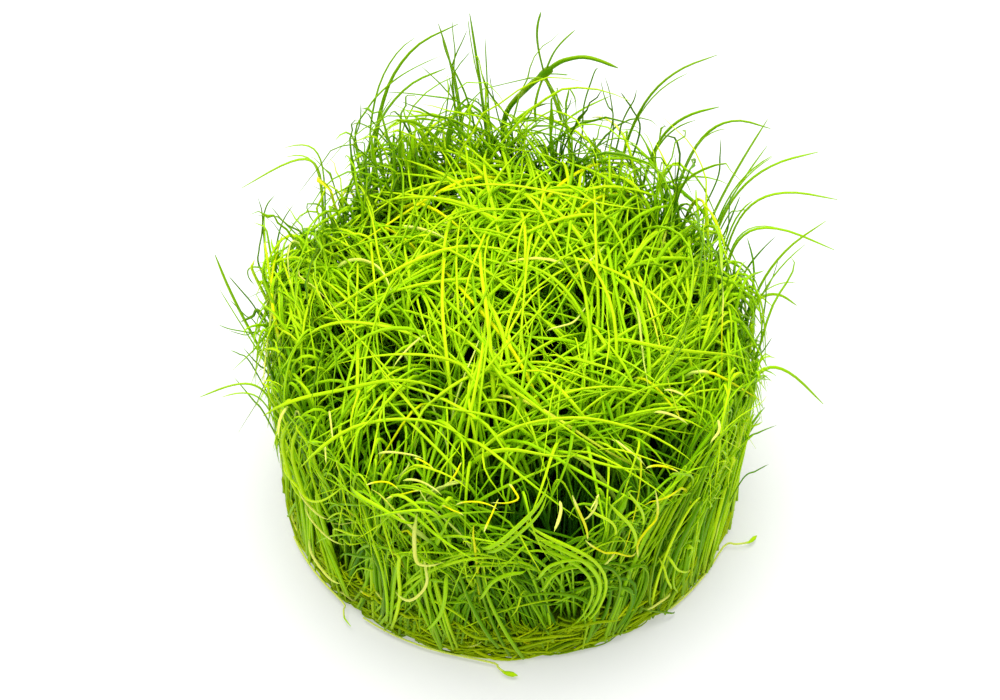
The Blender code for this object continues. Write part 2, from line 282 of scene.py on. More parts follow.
def ribs(tree, shader, count, strength):
    """Fine ribs along a blade, as a bump that rises and falls this many times round its section."""
    turns = calculated(tree, "MULTIPLY", attribute(tree, "across"), count * math.tau)
    bump = tree.nodes.new("ShaderNodeBump")
    bump.inputs["Strength"].default_value = strength
    bump.inputs["Distance"].default_value = RIB_HEIGHT
    tree.links.new(calculated(tree, "SINE", turns), bump.inputs["Height"])
    tree.links.new(bump.outputs["Normal"], shader.inputs["Normal"])


def with_painted_shade(tree, colour):
    """Paints shade on a colour: darker deep inside the plug, by the blade's `light`."""
    shade = ramp(
        tree,
        attribute(tree, "light"),
        [(0.25, (0.060, 0.180, 0.02)), (0.60, (0.44, 0.62, 0.28)), (0.90, (1.0, 1.0, 1.0))],
    )
    return mix(tree, 1.0, colour, shade, "MULTIPLY")


def edge_glow_share(tree, amount):
    """Where the painted glow lies: high along both edges of a blade and nothing along its middle."""
    turns = calculated(tree, "MULTIPLY", attribute(tree, "across"), math.tau)
    square = calculated(tree, "POWER", calculated(tree, "COSINE", turns), 2.0)
    return calculated(tree, "MULTIPLY", square, amount)


print("helpers for materials are ready")

# %% The colours of a dried blade
CREAM = (0.95, 1.00, 0.20)
DRY_YELLOW = (0.90, 0.92, 0.003)
RUST = (0.42, 0.22, 0.008)


def dried(tree, living, most):
    """Turns a living colour to that of a dead blade as `dry` grows, up to this share of it."""
    dry = attribute(tree, "dry")
    dead = ramp(tree, dry, [(0.45, CREAM), (0.62, DRY_YELLOW), (0.82, DRY_YELLOW), (1.0, RUST)])
    share = ramp(tree, dry, [(0.10, (0.0, 0.0, 0.0)), (0.45, (most, most, most))])
    return mix(tree, share, living, dead)


print("a blade dries from cream over yellow to rust")

# %% The living blade
DEEP_GREEN = (0.022, 0.120, 0.0006)
LEAF_GREEN = (0.120, 0.360, 0.0010)
LIME = (0.410, 0.790, 0.0015)
SUN_LIME = (0.700, 1.000, 0.0060)
# The colour of the painted glow along a blade's edges.
EDGE_GLOW_YELLOW = (0.80, 0.90, 0.02)
SHEATH_PALE = (0.26, 0.40, 0.03)

blade_finish, tree, shader = new_finish("blade_green")
green = ramp(
    tree,
    attribute(tree, "tint"),
    [(0.0, DEEP_GREEN), (0.40, LEAF_GREEN), (0.75, LIME), (1.0, SUN_LIME)],
)
# A painted glow, yellow along the blade's edges.
edge_glowed = mix(tree, edge_glow_share(tree, 0.22), green, EDGE_GLOW_YELLOW)
sheath_share = ramp(tree, attribute(tree, "along"), [(0.0, (0.5, 0.5, 0.5)), (0.14, (0.0, 0.0, 0.0))])
sheathed = mix(tree, sheath_share, edge_glowed, SHEATH_PALE)
# The blade's colour, with painted shade deep inside the plug.
tree.links.new(with_painted_shade(tree, dried(tree, sheathed, 1.0)), shader.inputs["Base Color"])
shader.inputs["Roughness"].default_value = 0.45
shader.inputs["IOR"].default_value = 1.22
shader.inputs["Specular Tint"].default_value = (0.85, 1.0, 0.35, 1)
ribs(tree, shader, count=3, strength=0.3)
print("finish:", blade_finish.name)

# %% The strands of the mat
mat_finish, tree, shader = new_finish("mat_strand")
olive = ramp(
    tree,
    attribute(tree, "tint"),
    [(0.15, (0.120, 0.245, 0.0005)), (0.45, (0.360, 0.550, 0.001)), (0.85, (0.700, 0.840, 0.004))],
)
# The strands' colour, with painted shade from their `light`.
tree.links.new(with_painted_shade(tree, dried(tree, olive, 0.8)), shader.inputs["Base Color"])
shader.inputs["Roughness"].default_value = 0.55
shader.inputs["IOR"].default_value = 1.16
shader.inputs["Specular Tint"].default_value = (0.9, 1.0, 0.4, 1)
ribs(tree, shader, count=2, strength=0.3)
print("finish:", mat_finish.name)

# %% The root felt
felt_finish, tree, shader = new_finish("root_felt")
felt_colour = ramp(
    tree,
    noise(tree, scale=900, detail=4.0),
    [(0.30, (0.050, 0.110, 0.001)), (0.55, (0.170, 0.290, 0.002)), (0.75, (0.34, 0.50, 0.004))],
)
tree.links.new(felt_colour, shader.inputs["Base Color"])
shader.inputs["Roughness"].default_value = 0.8
shader.inputs["IOR"].default_value = 1.15
print("finish:", felt_finish.name)

# %% [markdown]
# ## The blade sweep
#
# Every blade is a line with a round section drawn along it, thick at the sheath and fine at the tip.
# Hair would be quicker to comb, but it is no mesh, and the export keeps only meshes.
#
# A section along a line is a rule, so one Geometry Nodes tree makes all of them. It turns each chain
# of edges into a curve and sweeps a slightly flat ring along it, as wide as the half width stored on
# the curve's points. The ring has few sides, because there are thousands of blades.


# %% Build the sweep tree
def sweep_tree():
    """A node tree that sweeps a flat ring along every line of a mesh."""
    tree = bpy.data.node_groups.new("blade_sweep", "GeometryNodeTree")
    face = tree.interface
    face.new_socket("Lines", in_out="INPUT", socket_type="NodeSocketGeometry")
    for name, kind, value in (
        ("Sides", "NodeSocketInt", 6),
        ("Flatness", "NodeSocketFloat", 0.75),
        ("Smoothing", "NodeSocketInt", 1),
        ("Finish", "NodeSocketMaterial", None),
    ):
        socket = face.new_socket(name, in_out="INPUT", socket_type=kind)
        if value is not None:
            socket.default_value = value
    face.new_socket("Blades", in_out="OUTPUT", socket_type="NodeSocketGeometry")
    new, link = tree.nodes.new, tree.links.new
    given, result = new("NodeGroupInput"), new("NodeGroupOutput")

    def stored(name):
        """A number that the lines' points carry."""
        node = new("GeometryNodeInputNamedAttribute")
        node.data_type = "FLOAT"
        node.inputs["Name"].default_value = name
        return node.outputs["Attribute"]

    lines = new("GeometryNodeMeshToCurve")
    link(given.outputs["Lines"], lines.inputs["Mesh"])
    smooth = new("GeometryNodeCurveSplineType")
    smooth.spline_type = "CATMULL_ROM"
    link(lines.outputs["Curve"], smooth.inputs["Curve"])
    steps = new("GeometryNodeSetSplineResolution")
    link(smooth.outputs["Curve"], steps.inputs["Geometry"])
    link(given.outputs["Smoothing"], steps.inputs["Resolution"])
    tilt = new("GeometryNodeSetCurveTilt")
    link(steps.outputs["Geometry"], tilt.inputs["Curve"])
    link(stored("twist"), tilt.inputs["Tilt"])

    ring = new("GeometryNodeCurvePrimitiveCircle")
    ring.inputs["Radius"].default_value = 1.0
    link(given.outputs["Sides"], ring.inputs["Resolution"])
    around = new("GeometryNodeSplineParameter")
    mark = new("GeometryNodeStoreNamedAttribute")
    mark.data_type = "FLOAT"
    mark.domain = "POINT"
    mark.inputs["Name"].default_value = "across"
    link(ring.outputs["Curve"], mark.inputs["Geometry"])
    link(around.outputs["Factor"], mark.inputs["Value"])
    flat = new("ShaderNodeCombineXYZ")
    flat.inputs["X"].default_value = 1.0
    flat.inputs["Z"].default_value = 1.0
    link(given.outputs["Flatness"], flat.inputs["Y"])
    squash = new("GeometryNodeTransform")
    link(mark.outputs["Geometry"], squash.inputs["Geometry"])
    link(flat.outputs["Vector"], squash.inputs["Scale"])

    sweep = new("GeometryNodeCurveToMesh")
    sweep.inputs["Fill Caps"].default_value = True
    link(tilt.outputs["Curve"], sweep.inputs["Curve"])
    link(squash.outputs["Geometry"], sweep.inputs["Profile Curve"])
    link(stored("half_width"), sweep.inputs["Scale"])
    shade = new("GeometryNodeSetShadeSmooth")
    link(sweep.outputs["Mesh"], shade.inputs["Geometry"])
    whole = new("GeometryNodeRealizeInstances")
    link(shade.outputs["Geometry"], whole.inputs["Geometry"])
    finish = new("GeometryNodeSetMaterial")
    link(whole.outputs["Geometry"], finish.inputs["Geometry"])
    link(given.outputs["Finish"], finish.inputs["Material"])
    link(finish.outputs["Geometry"], result.inputs["Blades"])
    return tree


SWEEP = sweep_tree()
print("sweep tree:", len(SWEEP.nodes), "nodes")

# %% Run the sweep on a set of lines
# The lines below come with enough points, so the curve adds none between them.
STEPS_BETWEEN_POINTS = 1


def set_input(modifier, name, value):
    """Sets a modifier's input by its socket's identifier."""
    items = modifier.node_group.interface.items_tree
    socket = next(item for item in items if item.name == name and item.in_out == "INPUT")
    modifier[socket.identifier] = value


def lines_object(name, paths, traits):
    """A mesh of edge chains, one for each path, with each trait stored on its points."""
    counts = [len(path) for path in paths]
    points = np.vstack(paths) * MM
    ends = np.cumsum(counts)
    index = np.arange(len(points))
    joined = np.ones(len(points), bool)
    joined[ends - 1] = False
    starts = index[joined]
    mesh = bpy.data.meshes.new(name)
    mesh.vertices.add(len(points))
    mesh.vertices.foreach_set("co", points.astype(np.float32).ravel())
    pairs = np.column_stack([starts, starts + 1])
    mesh.edges.add(len(starts))
    mesh.edges.foreach_set("vertices", pairs.astype(np.int32).ravel())
    for trait, values in traits.items():
        layer = mesh.attributes.new(trait, "FLOAT", "POINT")
        layer.data.foreach_set("value", np.concatenate(values).astype(np.float32))
    return bpy.data.objects.new(name, mesh)


# How much of a strip's width and length stays free on each side.
STRIP_EDGE = 0.06
STRIP_END = 0.01


def strip_uv(mesh):
    """Lays each blade in its own strip of the UV map: across its width, along its length."""
    corners = np.empty(len(mesh.loops), np.int32)
    mesh.loops.foreach_get("vertex_index", corners)
    sizes = np.empty(len(mesh.polygons), np.int32)
    mesh.polygons.foreach_get("loop_total", sizes)
    read = {}
    for trait in ("across", "along", "blade"):
        values = np.empty(len(mesh.vertices), np.float32)
        mesh.attributes[trait].data.foreach_get("value", values)
        read[trait] = values[corners]
    polygon = np.repeat(np.arange(len(sizes)), sizes)
    # The face that closes the ring has its last corners at 0 again. They belong at 1.
    highest = np.zeros(len(sizes), np.float32)
    np.maximum.at(highest, polygon, read["across"])
    across = read["across"] + (highest[polygon] - read["across"] > 0.5)
    strips = read["blade"].max() + 1
    u = (read["blade"] + STRIP_EDGE + (1 - 2 * STRIP_EDGE) * across) / strips
    v = STRIP_END + (1 - 2 * STRIP_END) * read["along"]
    layer = mesh.uv_layers.new(name="OFBake")
    layer.data.foreach_set("uv", np.column_stack([u, v]).astype(np.float32).ravel())


def sweep_blades(name, paths, traits, finish, sides, flatness):
    """Sweeps the blades along their paths and gives back one plain mesh."""
    lines = lines_object(name + "_lines", paths, traits)
    bpy.context.scene.collection.objects.link(lines)
    modifier = lines.modifiers.new("sweep", "NODES")
    modifier.node_group = SWEEP
    inputs = {"Sides": sides, "Flatness": flatness, "Smoothing": STEPS_BETWEEN_POINTS, "Finish": finish}
    for socket, value in inputs.items():
        set_input(modifier, socket, value)
    evaluated = lines.evaluated_get(bpy.context.evaluated_depsgraph_get())
    mesh = bpy.data.meshes.new_from_object(evaluated)
    mesh.name = name
    bpy.data.objects.remove(lines)
    strip_uv(mesh)
    return mesh


def place_piece(name, mesh, slot, *nodes):
    """Puts a finished mesh in the scene, riding on the part and standing for its CAD nodes."""
    piece = bpy.data.objects.new(name, mesh)
    bpy.context.scene.collection.objects.link(piece)
    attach(piece, "root")
    if nodes:
        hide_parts(*nodes)
    return piece


print("the sweep gives plain meshes, each blade in a UV strip of its own")

# %% [markdown]
# ## Lines with a rule
#
# Every blade is a Bezier curve, because growth gives smooth bends. It has a root in the mat, one or
# two points that lead it up, and a tip. The cup is convex, so a curve whose points all lie inside it
# can't leave it. The blades of one plantlet grow alike, so they are drawn in little clumps that
# share their values, and each blade adds a little of its own.


# %% Curves, places and clumps
def polar(level, azimuth, height):
    """Points from the distance to the axis, the direction and the height."""
    level, azimuth, height = np.broadcast_arrays(level, azimuth, height)
    return np.stack([level * np.cos(azimuth), level * np.sin(azimuth), height], axis=-1)


def bezier(controls, steps):
    """Curves through (blade, point, xyz) control points, as (blade, step, xyz)."""
    order = controls.shape[1] - 1
    t = np.linspace(0, 1, steps)
    weights = [math.comb(order, k) * t**k * (1 - t) ** (order - k) for k in range(order + 1)]
    return np.einsum("ks,bkx->bsx", np.stack(weights), controls)


class Clumps:
    """Blades in little clumps. A value is shared by the clump, with a little of each blade's own."""

    def __init__(self, draw, count, size):
        """Shares this many blades among clumps of about this size."""
        self.draw, self.count = draw, count
        self.number = max(1, round(count / size))
        self.of = draw.integers(0, self.number, count)

    def range(self, low, high, own=0.1):
        """A value between low and high for each clump, and `own` of that span for each blade."""
        shared = self.draw.uniform(low, high, self.number)[self.of]
        return shared + self.draw.normal(0, own * (high - low), self.count)

    def chance(self, share):
        """Whether this happens to a clump."""
        return (self.draw.random(self.number) < share)[self.of]


def held(points, spare=0.3):
    """The points, with any that is outside the cup moved in to its wall."""
    level = np.hypot(points[..., 0], points[..., 1])
    wall = cup_radius(points[..., 2]) - spare
    share = np.minimum(1, wall / np.maximum(level, 0.001))
    return points * np.stack([share, share, np.ones_like(share)], axis=-1)


EASE = np.array([2.0, 2.0, 0.3])
OFF_THE_FLOOR = 0.3


def boxed(paths):
    """The paths eased back into the CAD's own box over its last two millimetres, and off the floor."""
    low, high = np.array(frame_box) / MM
    low[2] = OFF_THE_FLOOR
    most = high - EASE
    paths = np.where(paths > most, most + EASE * np.tanh((paths - high + EASE) / EASE), paths)
    least = low + EASE
    return np.where(paths < least, least - EASE * np.tanh((least - paths) / EASE), paths)


def waved(paths, draw, size):
    """A slow wave on each path, so that no blade is a perfect curve. Its root stays."""
    count, steps = paths.shape[:2]
    t = np.linspace(0, 1, steps)[None, :, None]
    phase = draw.uniform(0, math.tau, (count, 1, 3))
    pace = draw.uniform(1.0, 2.4, (count, 1, 3))
    return paths + size * t * np.sin(phase + math.tau * pace * t) * draw.uniform(0.2, 1, (count, 1, 3))


print(f"lines keep inside {[[round(v / MM, 1) for v in corner] for corner in frame_box]} mm")

# %% [markdown]
# ## The kinds of blade
#
# The picture shows six kinds, and each has a short rule of its own, which draws roots, bends and
# tips from the cup's own radius and height. Combing each blade by hand would give one plug of one
# size. With rules, the blades follow the cup.
#
# On top they fall over one another. Which way they fall changes slowly from place to place.


# %% Which way the blades fall
def swirl(points):
    """Blades near each other fall the same way, and the way changes slowly across the plug."""
    x, y = points[..., 0], points[..., 1]
    return 2.6 * np.sin(x / 13 + 0.6) + 2.2 * np.sin(y / 10 - 0.8) + 1.2 * np.sin((x + y) / 7)


def fall(points):
    """Near the middle the blades fall outwards, like a fountain, and further out with the swirl."""
    x, y = points[..., 0], points[..., 1]
    share = np.clip(1.5 - np.hypot(x, y) / 14, 0, 1)
    turn = (np.arctan2(y + 3, x) - swirl(points) + math.pi) % math.tau - math.pi
    return swirl(points) + share * turn


rim_front = np.array([0.0, -FOOT_RADIUS])
print(f"blades at the front rim head {math.degrees(fall(rim_front)):.0f} degrees from the right")

# %% [markdown]
# Three kinds fill and cover the plug. Thatch is the short dark blades inside, which keep light from
# showing through. The canopy is long bright blades that rise, turn over and lie across the top.
# Arcs are a few, longer still, that bend over all the others near the middle.


# %% Thatch, canopy and arcs
ROOT_HEIGHT = MAT_TOP - 2
# The tips of falling blades stay about within the cup's radius at this height.
TIP_HEIGHT = 34
# An arc's middle lies nearer to the axis than this.
ARC_MIDDLE = 17


def spread_roots(level, share, azimuth):
    """Roots in the mat, even over its area where the shares are even."""
    return polar(level * np.sqrt(share), azimuth, ROOT_HEIGHT)


def turned_back(root, ahead, spare):
    """The tips, with those that would fall past the cup brought back, and how near each came to it."""
    tip = root + ahead
    past = np.hypot(tip[:, 0], tip[:, 1]) / (cup_radius(TIP_HEIGHT) + spare)
    tip[:, :2] /= np.maximum(past, 1)[:, None]
    return tip, past


def thatch(draw, count):
    """Short blades that stand and bend over inside the plug."""
    c = Clumps(draw, count, 2)
    root = spread_roots(29.5, c.range(0, 1, 0.03).clip(0, 1), c.range(-math.pi, math.pi, 0.01))
    ahead = polar(c.range(3, 17), c.range(-math.pi, math.pi, 0.05), 0)
    height = c.range(13, 33)
    knee = root + 0.1 * ahead
    knee[:, 2] = 0.6 * height
    bend = root + 0.5 * ahead
    bend[:, 2] = height * 1.1
    tip = root + ahead
    tip[:, 2] = height * draw.uniform(0.7, 1.05, count)
    return bezier(held(np.stack([root, knee, bend, tip], axis=1), 1.5), 9)


def canopy(draw, count):
    """Long blades that rise, turn over at the top and lie down ahead, some under the others."""
    c = Clumps(draw, count, 1.7)
    root = spread_roots(31, c.range(0, 1, 0.02).clip(0, 1), c.range(-math.pi, math.pi, 0.008))
    loose = draw.uniform(0.3, 2.7, c.number)[c.of]
    heading = fall(root) + loose * c.range(-1, 1, 0.05)
    ahead = polar(c.range(12, 36, 0.10), heading, 0)
    aside = polar(c.range(-3.6, 3.6, 0.10), heading + math.pi / 2, 0)
    tip, past = turned_back(root, ahead, draw.uniform(-4, 1.2, count))
    ahead = tip - root
    under = (draw.exponential(2.6, c.number)[c.of] + draw.exponential(0.9, count)).clip(0, 11)
    top = canopy_height(root[:, 0], root[:, 1]) - under
    end = canopy_height(tip[:, 0], tip[:, 1]) - under
    first, second, third = root + 0.10 * ahead, root + 0.30 * ahead + aside, root + 0.72 * ahead + aside
    first[:, 2], second[:, 2], third[:, 2] = 0.86 * top, 1.13 * top, end + 1.5
    falls = np.where(past > 0.93, draw.uniform(2, 11, count), draw.uniform(-2.5, 6, count))
    tip[:, 2] = end - falls
    controls = np.stack([root, held(first), held(second), held(third, -1), tip], axis=1)
    return waved(bezier(controls, 14), draw, 0.45)


def arcs(draw, count):
    """The longest blades, which bend over the canopy. Only those that pass near the middle are kept."""
    root = spread_roots(31, draw.random(count), draw.uniform(-math.pi, math.pi, count))
    heading = fall(root) + draw.uniform(-1.8, 1.8, count)
    ahead = polar(draw.uniform(22, 42, count), heading, 0)
    aside = polar(draw.uniform(-5, 5, count), heading + math.pi / 2, 0)
    inner = np.hypot(root[:, 0] + ahead[:, 0] / 2, root[:, 1] + ahead[:, 1] / 2) < ARC_MIDDLE
    root, ahead, aside, count = root[inner], ahead[inner], aside[inner], inner.sum()
    tip, _ = turned_back(root, ahead, draw.uniform(-5, 1, count))
    ahead = tip - root
    first, second, third = root + 0.06 * ahead, root + 0.26 * ahead + aside, root + 0.74 * ahead + aside
    middle = tip - 0.5 * ahead
    top = canopy_height(middle[:, 0], middle[:, 1]) + draw.uniform(-2, 1.5, count)
    first[:, 2], second[:, 2], third[:, 2] = 0.86 * top, 1.17 * top, 1.05 * top
    tip[:, 2] = top - draw.uniform(1, 9, count)
    return waved(bezier(np.stack([root, held(first), second, third, tip], axis=1), 18), draw, 0.4)


print("rules: thatch, canopy, arcs")

# %% [markdown]
# Two kinds make the side. The wall is what the cup combed upright, in locks that slant, hook over or
# turn in across the rim. The web is thin blades that sweep sideways over it.


# %% Wall and web
def lean(azimuth):
    """How far the wall leans round the plug: hard over at the right of the front, little elsewhere."""
    return 0.06 + 0.36 * np.exp(-(((azimuth + 0.62) / 0.55) ** 2)) + 0.10 * np.sin(5 * azimuth)


def under_canopy(points, above=0.0):
    """The points, with any that is higher than this above the canopy brought down."""
    top = canopy_height(points[..., 0], points[..., 1]) + above
    points[..., 2] = np.minimum(points[..., 2], top)
    return points


def wall(draw, count):
    """Locks of about ten blades that stand against the cup and share their slant, curl and bulge."""
    c = Clumps(draw, count, 10)
    azimuth = c.range(-math.pi, math.pi, 0.0055)
    inside = c.range(0, 2.8) + draw.exponential(0.5, count)
    height = c.range(16, 34, 0.12) + 5 * np.sin(azimuth).clip(0, 1) ** 2
    slant = lean(azimuth) + c.range(-0.22, 0.22, 0.11)
    curl = c.range(-0.38, 0.38, 0.12)
    bulge = c.range(-0.10, 0.10, 0.10)
    turns_in, hooks = c.chance(0.45), c.chance(0.25)
    pokes_out = draw.random(count) < 0.03
    tuck = np.where(turns_in, c.range(2, 12), np.where(pokes_out, -1.8 - inside, 0.0))
    drop = np.where(hooks & ~turns_in, c.range(0.2, 0.5), 0.02)
    curl = np.where(hooks, np.sign(curl) * (0.10 + np.abs(curl)), curl)
    foot = draw.uniform(0.3, ROOT_HEIGHT, count)
    root = polar(cup_radius(foot) - 0.3 * inside + draw.uniform(-0.4, 0.6, count), azimuth, foot)
    first = polar(cup_radius(0.45 * height) - inside, azimuth + 0.15 * slant + bulge, 0.45 * height)
    level = cup_radius(height) - inside
    second = polar(level - 0.1 * tuck, azimuth + 0.6 * slant + 1.4 * bulge, 0.98 * height)
    third = polar(level - 0.4 * tuck, azimuth + slant + 0.6 * curl, 1.05 * height)
    end = height * (1 - drop)
    tip = polar(cup_radius(end) - inside - tuck, azimuth + slant + curl, end)
    controls = under_canopy(np.stack([root, first, second, third, tip], axis=1), above=1.0)
    return waved(bezier(controls, 13), draw, 0.35)


def web(draw, count):
    """Thin blades that rise inside the wall, bend over its rim and sweep sideways down or up it."""
    c = Clumps(draw, count, 1.5)
    azimuth = c.range(-math.pi, math.pi, 0.01)
    inside = draw.exponential(1.2, count).clip(0, 5)
    knee = c.range(14, 33) + 6 * np.sin(azimuth).clip(0, 1) ** 2
    sweep = c.range(-0.62, 0.62, 0.04)
    root = polar(c.range(26, 31), azimuth, ROOT_HEIGHT)
    first = polar(cup_radius(knee) - inside - 1.5, azimuth + 0.1 * sweep, 0.7 * knee)
    second = polar(cup_radius(knee) - inside, azimuth + 0.35 * sweep, 1.1 * knee)
    end = knee + c.range(-12, 9)
    third = polar(cup_radius(end) - inside, azimuth + 0.75 * sweep, 0.4 * knee + 0.65 * end)
    tip = polar(cup_radius(end) - inside * draw.uniform(-0.3, 5, count), azimuth + sweep, end)
    controls = under_canopy(np.stack([root, first, second, third, tip], axis=1))
    return waved(bezier(controls, 13), draw, 0.6)


print("rules: wall, web")

# %% [markdown]
# The last kind is the fringe: thin old blades at the back that stand above the canopy and flop
# outwards, with small kinks and white showing through.


# %% Fringe, and how many blades of each kind
KINK = 0.16


def fringe(draw, count):
    """Thin blades round the back, the highest in the middle of it, each bent a little at every point."""
    c = Clumps(draw, count, 1.2)
    azimuth = math.pi / 2 + c.range(-1, 1, 0.01) * c.range(0.8, 1.8, 0.02)
    back = (np.sin(azimuth) + 0.3).clip(0.1, 1)
    root = polar(c.range(17, 30), azimuth, ROOT_HEIGHT)
    height = 32 + back * (3 + 16 * draw.random(count) ** 1.6)
    sway = c.range(-1.15, 1.15) * draw.random(count)
    first = polar(c.range(20, 30), azimuth + 0.1 * sway, 0.6 * height)
    second = polar(c.range(22, 32), azimuth + 0.4 * sway, 1.05 * height)
    third = polar(24 + c.range(0, 1) * (11 - 4 * back), azimuth + sway, 1.10 * height)
    tip = polar(20 + c.range(0, 1) * (20 - 8 * back), azimuth + 1.5 * sway, height * c.range(0.68, 1.22))
    paths = waved(bezier(np.stack([root, first, second, third, tip], axis=1), 16), draw, 0.5)
    return paths + draw.normal(0, KINK, paths.shape)


# Half widths in millimetres from thin to thick, tints as mean and spread, and the shares of a kind's
# blades that are dry and of their points that are knots.
KINDS = {
    "thatch": dict(rule=thatch, count=1100, half_width=(0.15, 0.28), tint=(0.30, 0.15), dry=0.02),
    "canopy": dict(rule=canopy, count=1850, half_width=(0.14, 0.31), tint=(0.82, 0.15), dry=0.03),
    "arcs": dict(rule=arcs, count=520, half_width=(0.20, 0.32), tint=(0.88, 0.09), dry=0.02),
    "wall": dict(rule=wall, count=1550, half_width=(0.18, 0.32), tint=(0.60, 0.19), dry=0.02),
    "web": dict(rule=web, count=650, half_width=(0.12, 0.24), knots=0.03, tint=(0.72, 0.16), dry=0.04),
    "fringe": dict(rule=fringe, count=620, half_width=(0.12, 0.21), knots=0.10, tint=(0.54, 0.22), dry=0.03),
}
print({name: kind["count"] for name, kind in KINDS.items()})

# %% [markdown]
# ## Gaps in the plug
#
# The plug isn't even. Near the front rim the canopy opens over dark hollows, round the daughter
# plant its heart stands free, and at the back small white holes show through like lace. Thinning
# the blades everywhere would make the plug paler, not more open. So balls of air are placed where
# the picture shows them. They take out most of the blades that would cross them. Those of the lace
# stand in rows along the line of sight, because a hole shows only where the plug is open from front
# to back, and they take out half.


# %% Where the picture shows a point
PICTURE_WIDTH = 1000
PICTURE_HEIGHT = 700
OFF_THE_WALL = 0.7


def seen(across, down, height):
    """The point at this height, in millimetres, that shows at this pixel of the picture."""
    scale = camera_data.sensor_width / camera_data.lens / PICTURE_WIDTH
    ray = Vector(((across - PICTURE_WIDTH / 2) * scale, (PICTURE_HEIGHT / 2 - down) * scale, -1))
    ray = camera.rotation_euler.to_matrix() @ ray
    return np.array((CAMERA_PLACE + ray * ((height * MM - CAMERA_PLACE.z) / ray.z)) / MM)


def upright(across, down, behind):
    """The point that shows at this pixel, in the upright plane this far behind the axis."""
    low, high = seen(across, down, 0), seen(across, down, 10)
    return low + (high - low) * (behind - low[1]) / (high[1] - low[1])


def on_wall(across, down):
    """The point just outside the cup's wall that shows at this pixel, looked for from above."""
    for height in np.arange(42, 0, -0.25):
        point = seen(across, down, height)
        if np.hypot(point[0], point[1]) < cup_radius(height) + OFF_THE_WALL:
            return point
    return seen(across, down, 0.5)


def on_top(across, down, above):
    """The point this far above the canopy that shows at this pixel, found in a few steps."""
    height = RIM_HEIGHT
    for _ in range(6):
        point = seen(across, down, height)
        height = canopy_height(point[0], point[1]) + above
    return point


middle = on_top(PICTURE_WIDTH / 2, PICTURE_HEIGHT / 2, 0)
print("the middle of the picture shows the canopy at", middle.round(1), "mm")

# %% Hollows and lace
HOLLOW_BALLS = [
    # pixels across and down, height, radius
    (512, 470, 33, 3.9), (545, 500, 29, 3.2), (672, 448, 33, 3.6), (600, 480, 31, 2.4), (640, 330, 36, 2.0),
    (350, 370, 34, 1.8), (495, 415, 35, 2.2), (390, 430, 34, 1.8), (585, 185, 33, 3.0), (620, 200, 33, 3.0),
    (700, 205, 33, 3.5), (742, 258, 33, 3.0), (455, 150, 36, 3.5), (385, 190, 34, 3.0), (322, 200, 34, 3.0),
    (560, 140, 36, 3.5), (510, 106, 45, 2.2), (510, 106, 49, 2.2), (528, 90, 49, 2.6), (545, 74, 52, 3.0),
    (548, 98, 47, 2.6),
]
HOLLOWS = [(seen(across, down, height), radius) for across, down, height, radius in HOLLOW_BALLS]
LACE_PIXELS = [
    (335, 189), (349, 210), (401, 150), (440, 161), (461, 171), (503, 160), (587, 150), (608, 140),
    (650, 168), (667, 217), (678, 196), (713, 175), (709, 259), (748, 259), (307, 217), (735, 215),
]
LACE_RADIUS = 1.4
LACE_HEIGHTS = np.arange(28, 46, 1.5)
LACE = [(seen(*pixel, height), LACE_RADIUS) for pixel in LACE_PIXELS for height in LACE_HEIGHTS]
# The shares of blades that may cross all the same, and how much the back is thinned.
MAY_CROSS_HOLLOWS = 0.15
MAY_CROSS_LACE = 0.50
BACK_THINNED = 0.34
# The number of a point near the middle of every path.
MIDDLE_POINT = 6


def outside(paths, balls):
    """Which paths keep clear of all these balls."""
    keep = np.ones(len(paths), bool)
    for centre, size in balls:
        keep &= (np.linalg.norm(paths - centre, axis=2) > size).all(axis=1)
    return keep


def clear_of_hollows(paths, draw):
    """Which paths stay. About one in seven may cross a hollow, and the back of the plug is thinner."""
    keep = outside(paths, HOLLOWS) | (draw.random(len(paths)) < MAY_CROSS_HOLLOWS)
    behind = paths[:, MIDDLE_POINT, 1]
    return keep & (draw.random(len(paths)) > BACK_THINNED * np.clip((behind - 12) / 14, 0, 1))


def clear_of_lace(paths, draw):
    """Which paths stay. Half of those that cross the lace do."""
    return outside(paths, LACE) | (draw.random(len(paths)) < MAY_CROSS_LACE)


print(f"{len(HOLLOWS)} balls for the hollows, {len(LACE)} for the lace")

# %% [markdown]
# ## What each blade carries
#
# The half width falls off to a fine tip, and thin old blades have little knots. `tint` and `dry`
# give the blade's own colour. `light` is a painted shade: high at the outside of the plug, low deep
# inside and a little lower near the floor at the front. The renderer casts the shadows as well, and
# this painted shade is worked out from the blade's place and kept with it.


# %% Traits for the sweep and the finish
# How wide a blade is at these shares of its length.
WIDTH_PLACES = [0, 0.10, 0.60, 0.88, 1.0]
WIDTH_SHARES = [0.80, 1.0, 0.96, 0.60, 0.10]
KNOT_SWELL = 1.1
TURN_PER_LENGTH = 0.9
# How deep the painted shade reaches, in millimetres, and how much it darkens there.
DARK_DEPTH = 12
DARKEST = 0.75


def painted_light(paths):
    """Painted shade: 1 at the outside of the plug, less by DARKEST deep inside, and a little less low at the
    front.
    """
    x, y, z = paths[..., 0], paths[..., 1], paths[..., 2]
    below = canopy_height(x, y) - z
    within = cup_radius(z) - np.hypot(x, y)
    depth = np.clip(np.minimum(1.1 * below, 2.2 * within), 0, DARK_DEPTH)
    # Painted shade low down at the front of the plug.
    low = 0.16 * np.clip(1 - z / 16, 0, 1) * np.clip(-y / 22, 0.2, 1)
    return 1 - DARKEST * (depth / DARK_DEPTH) ** 0.85 - low


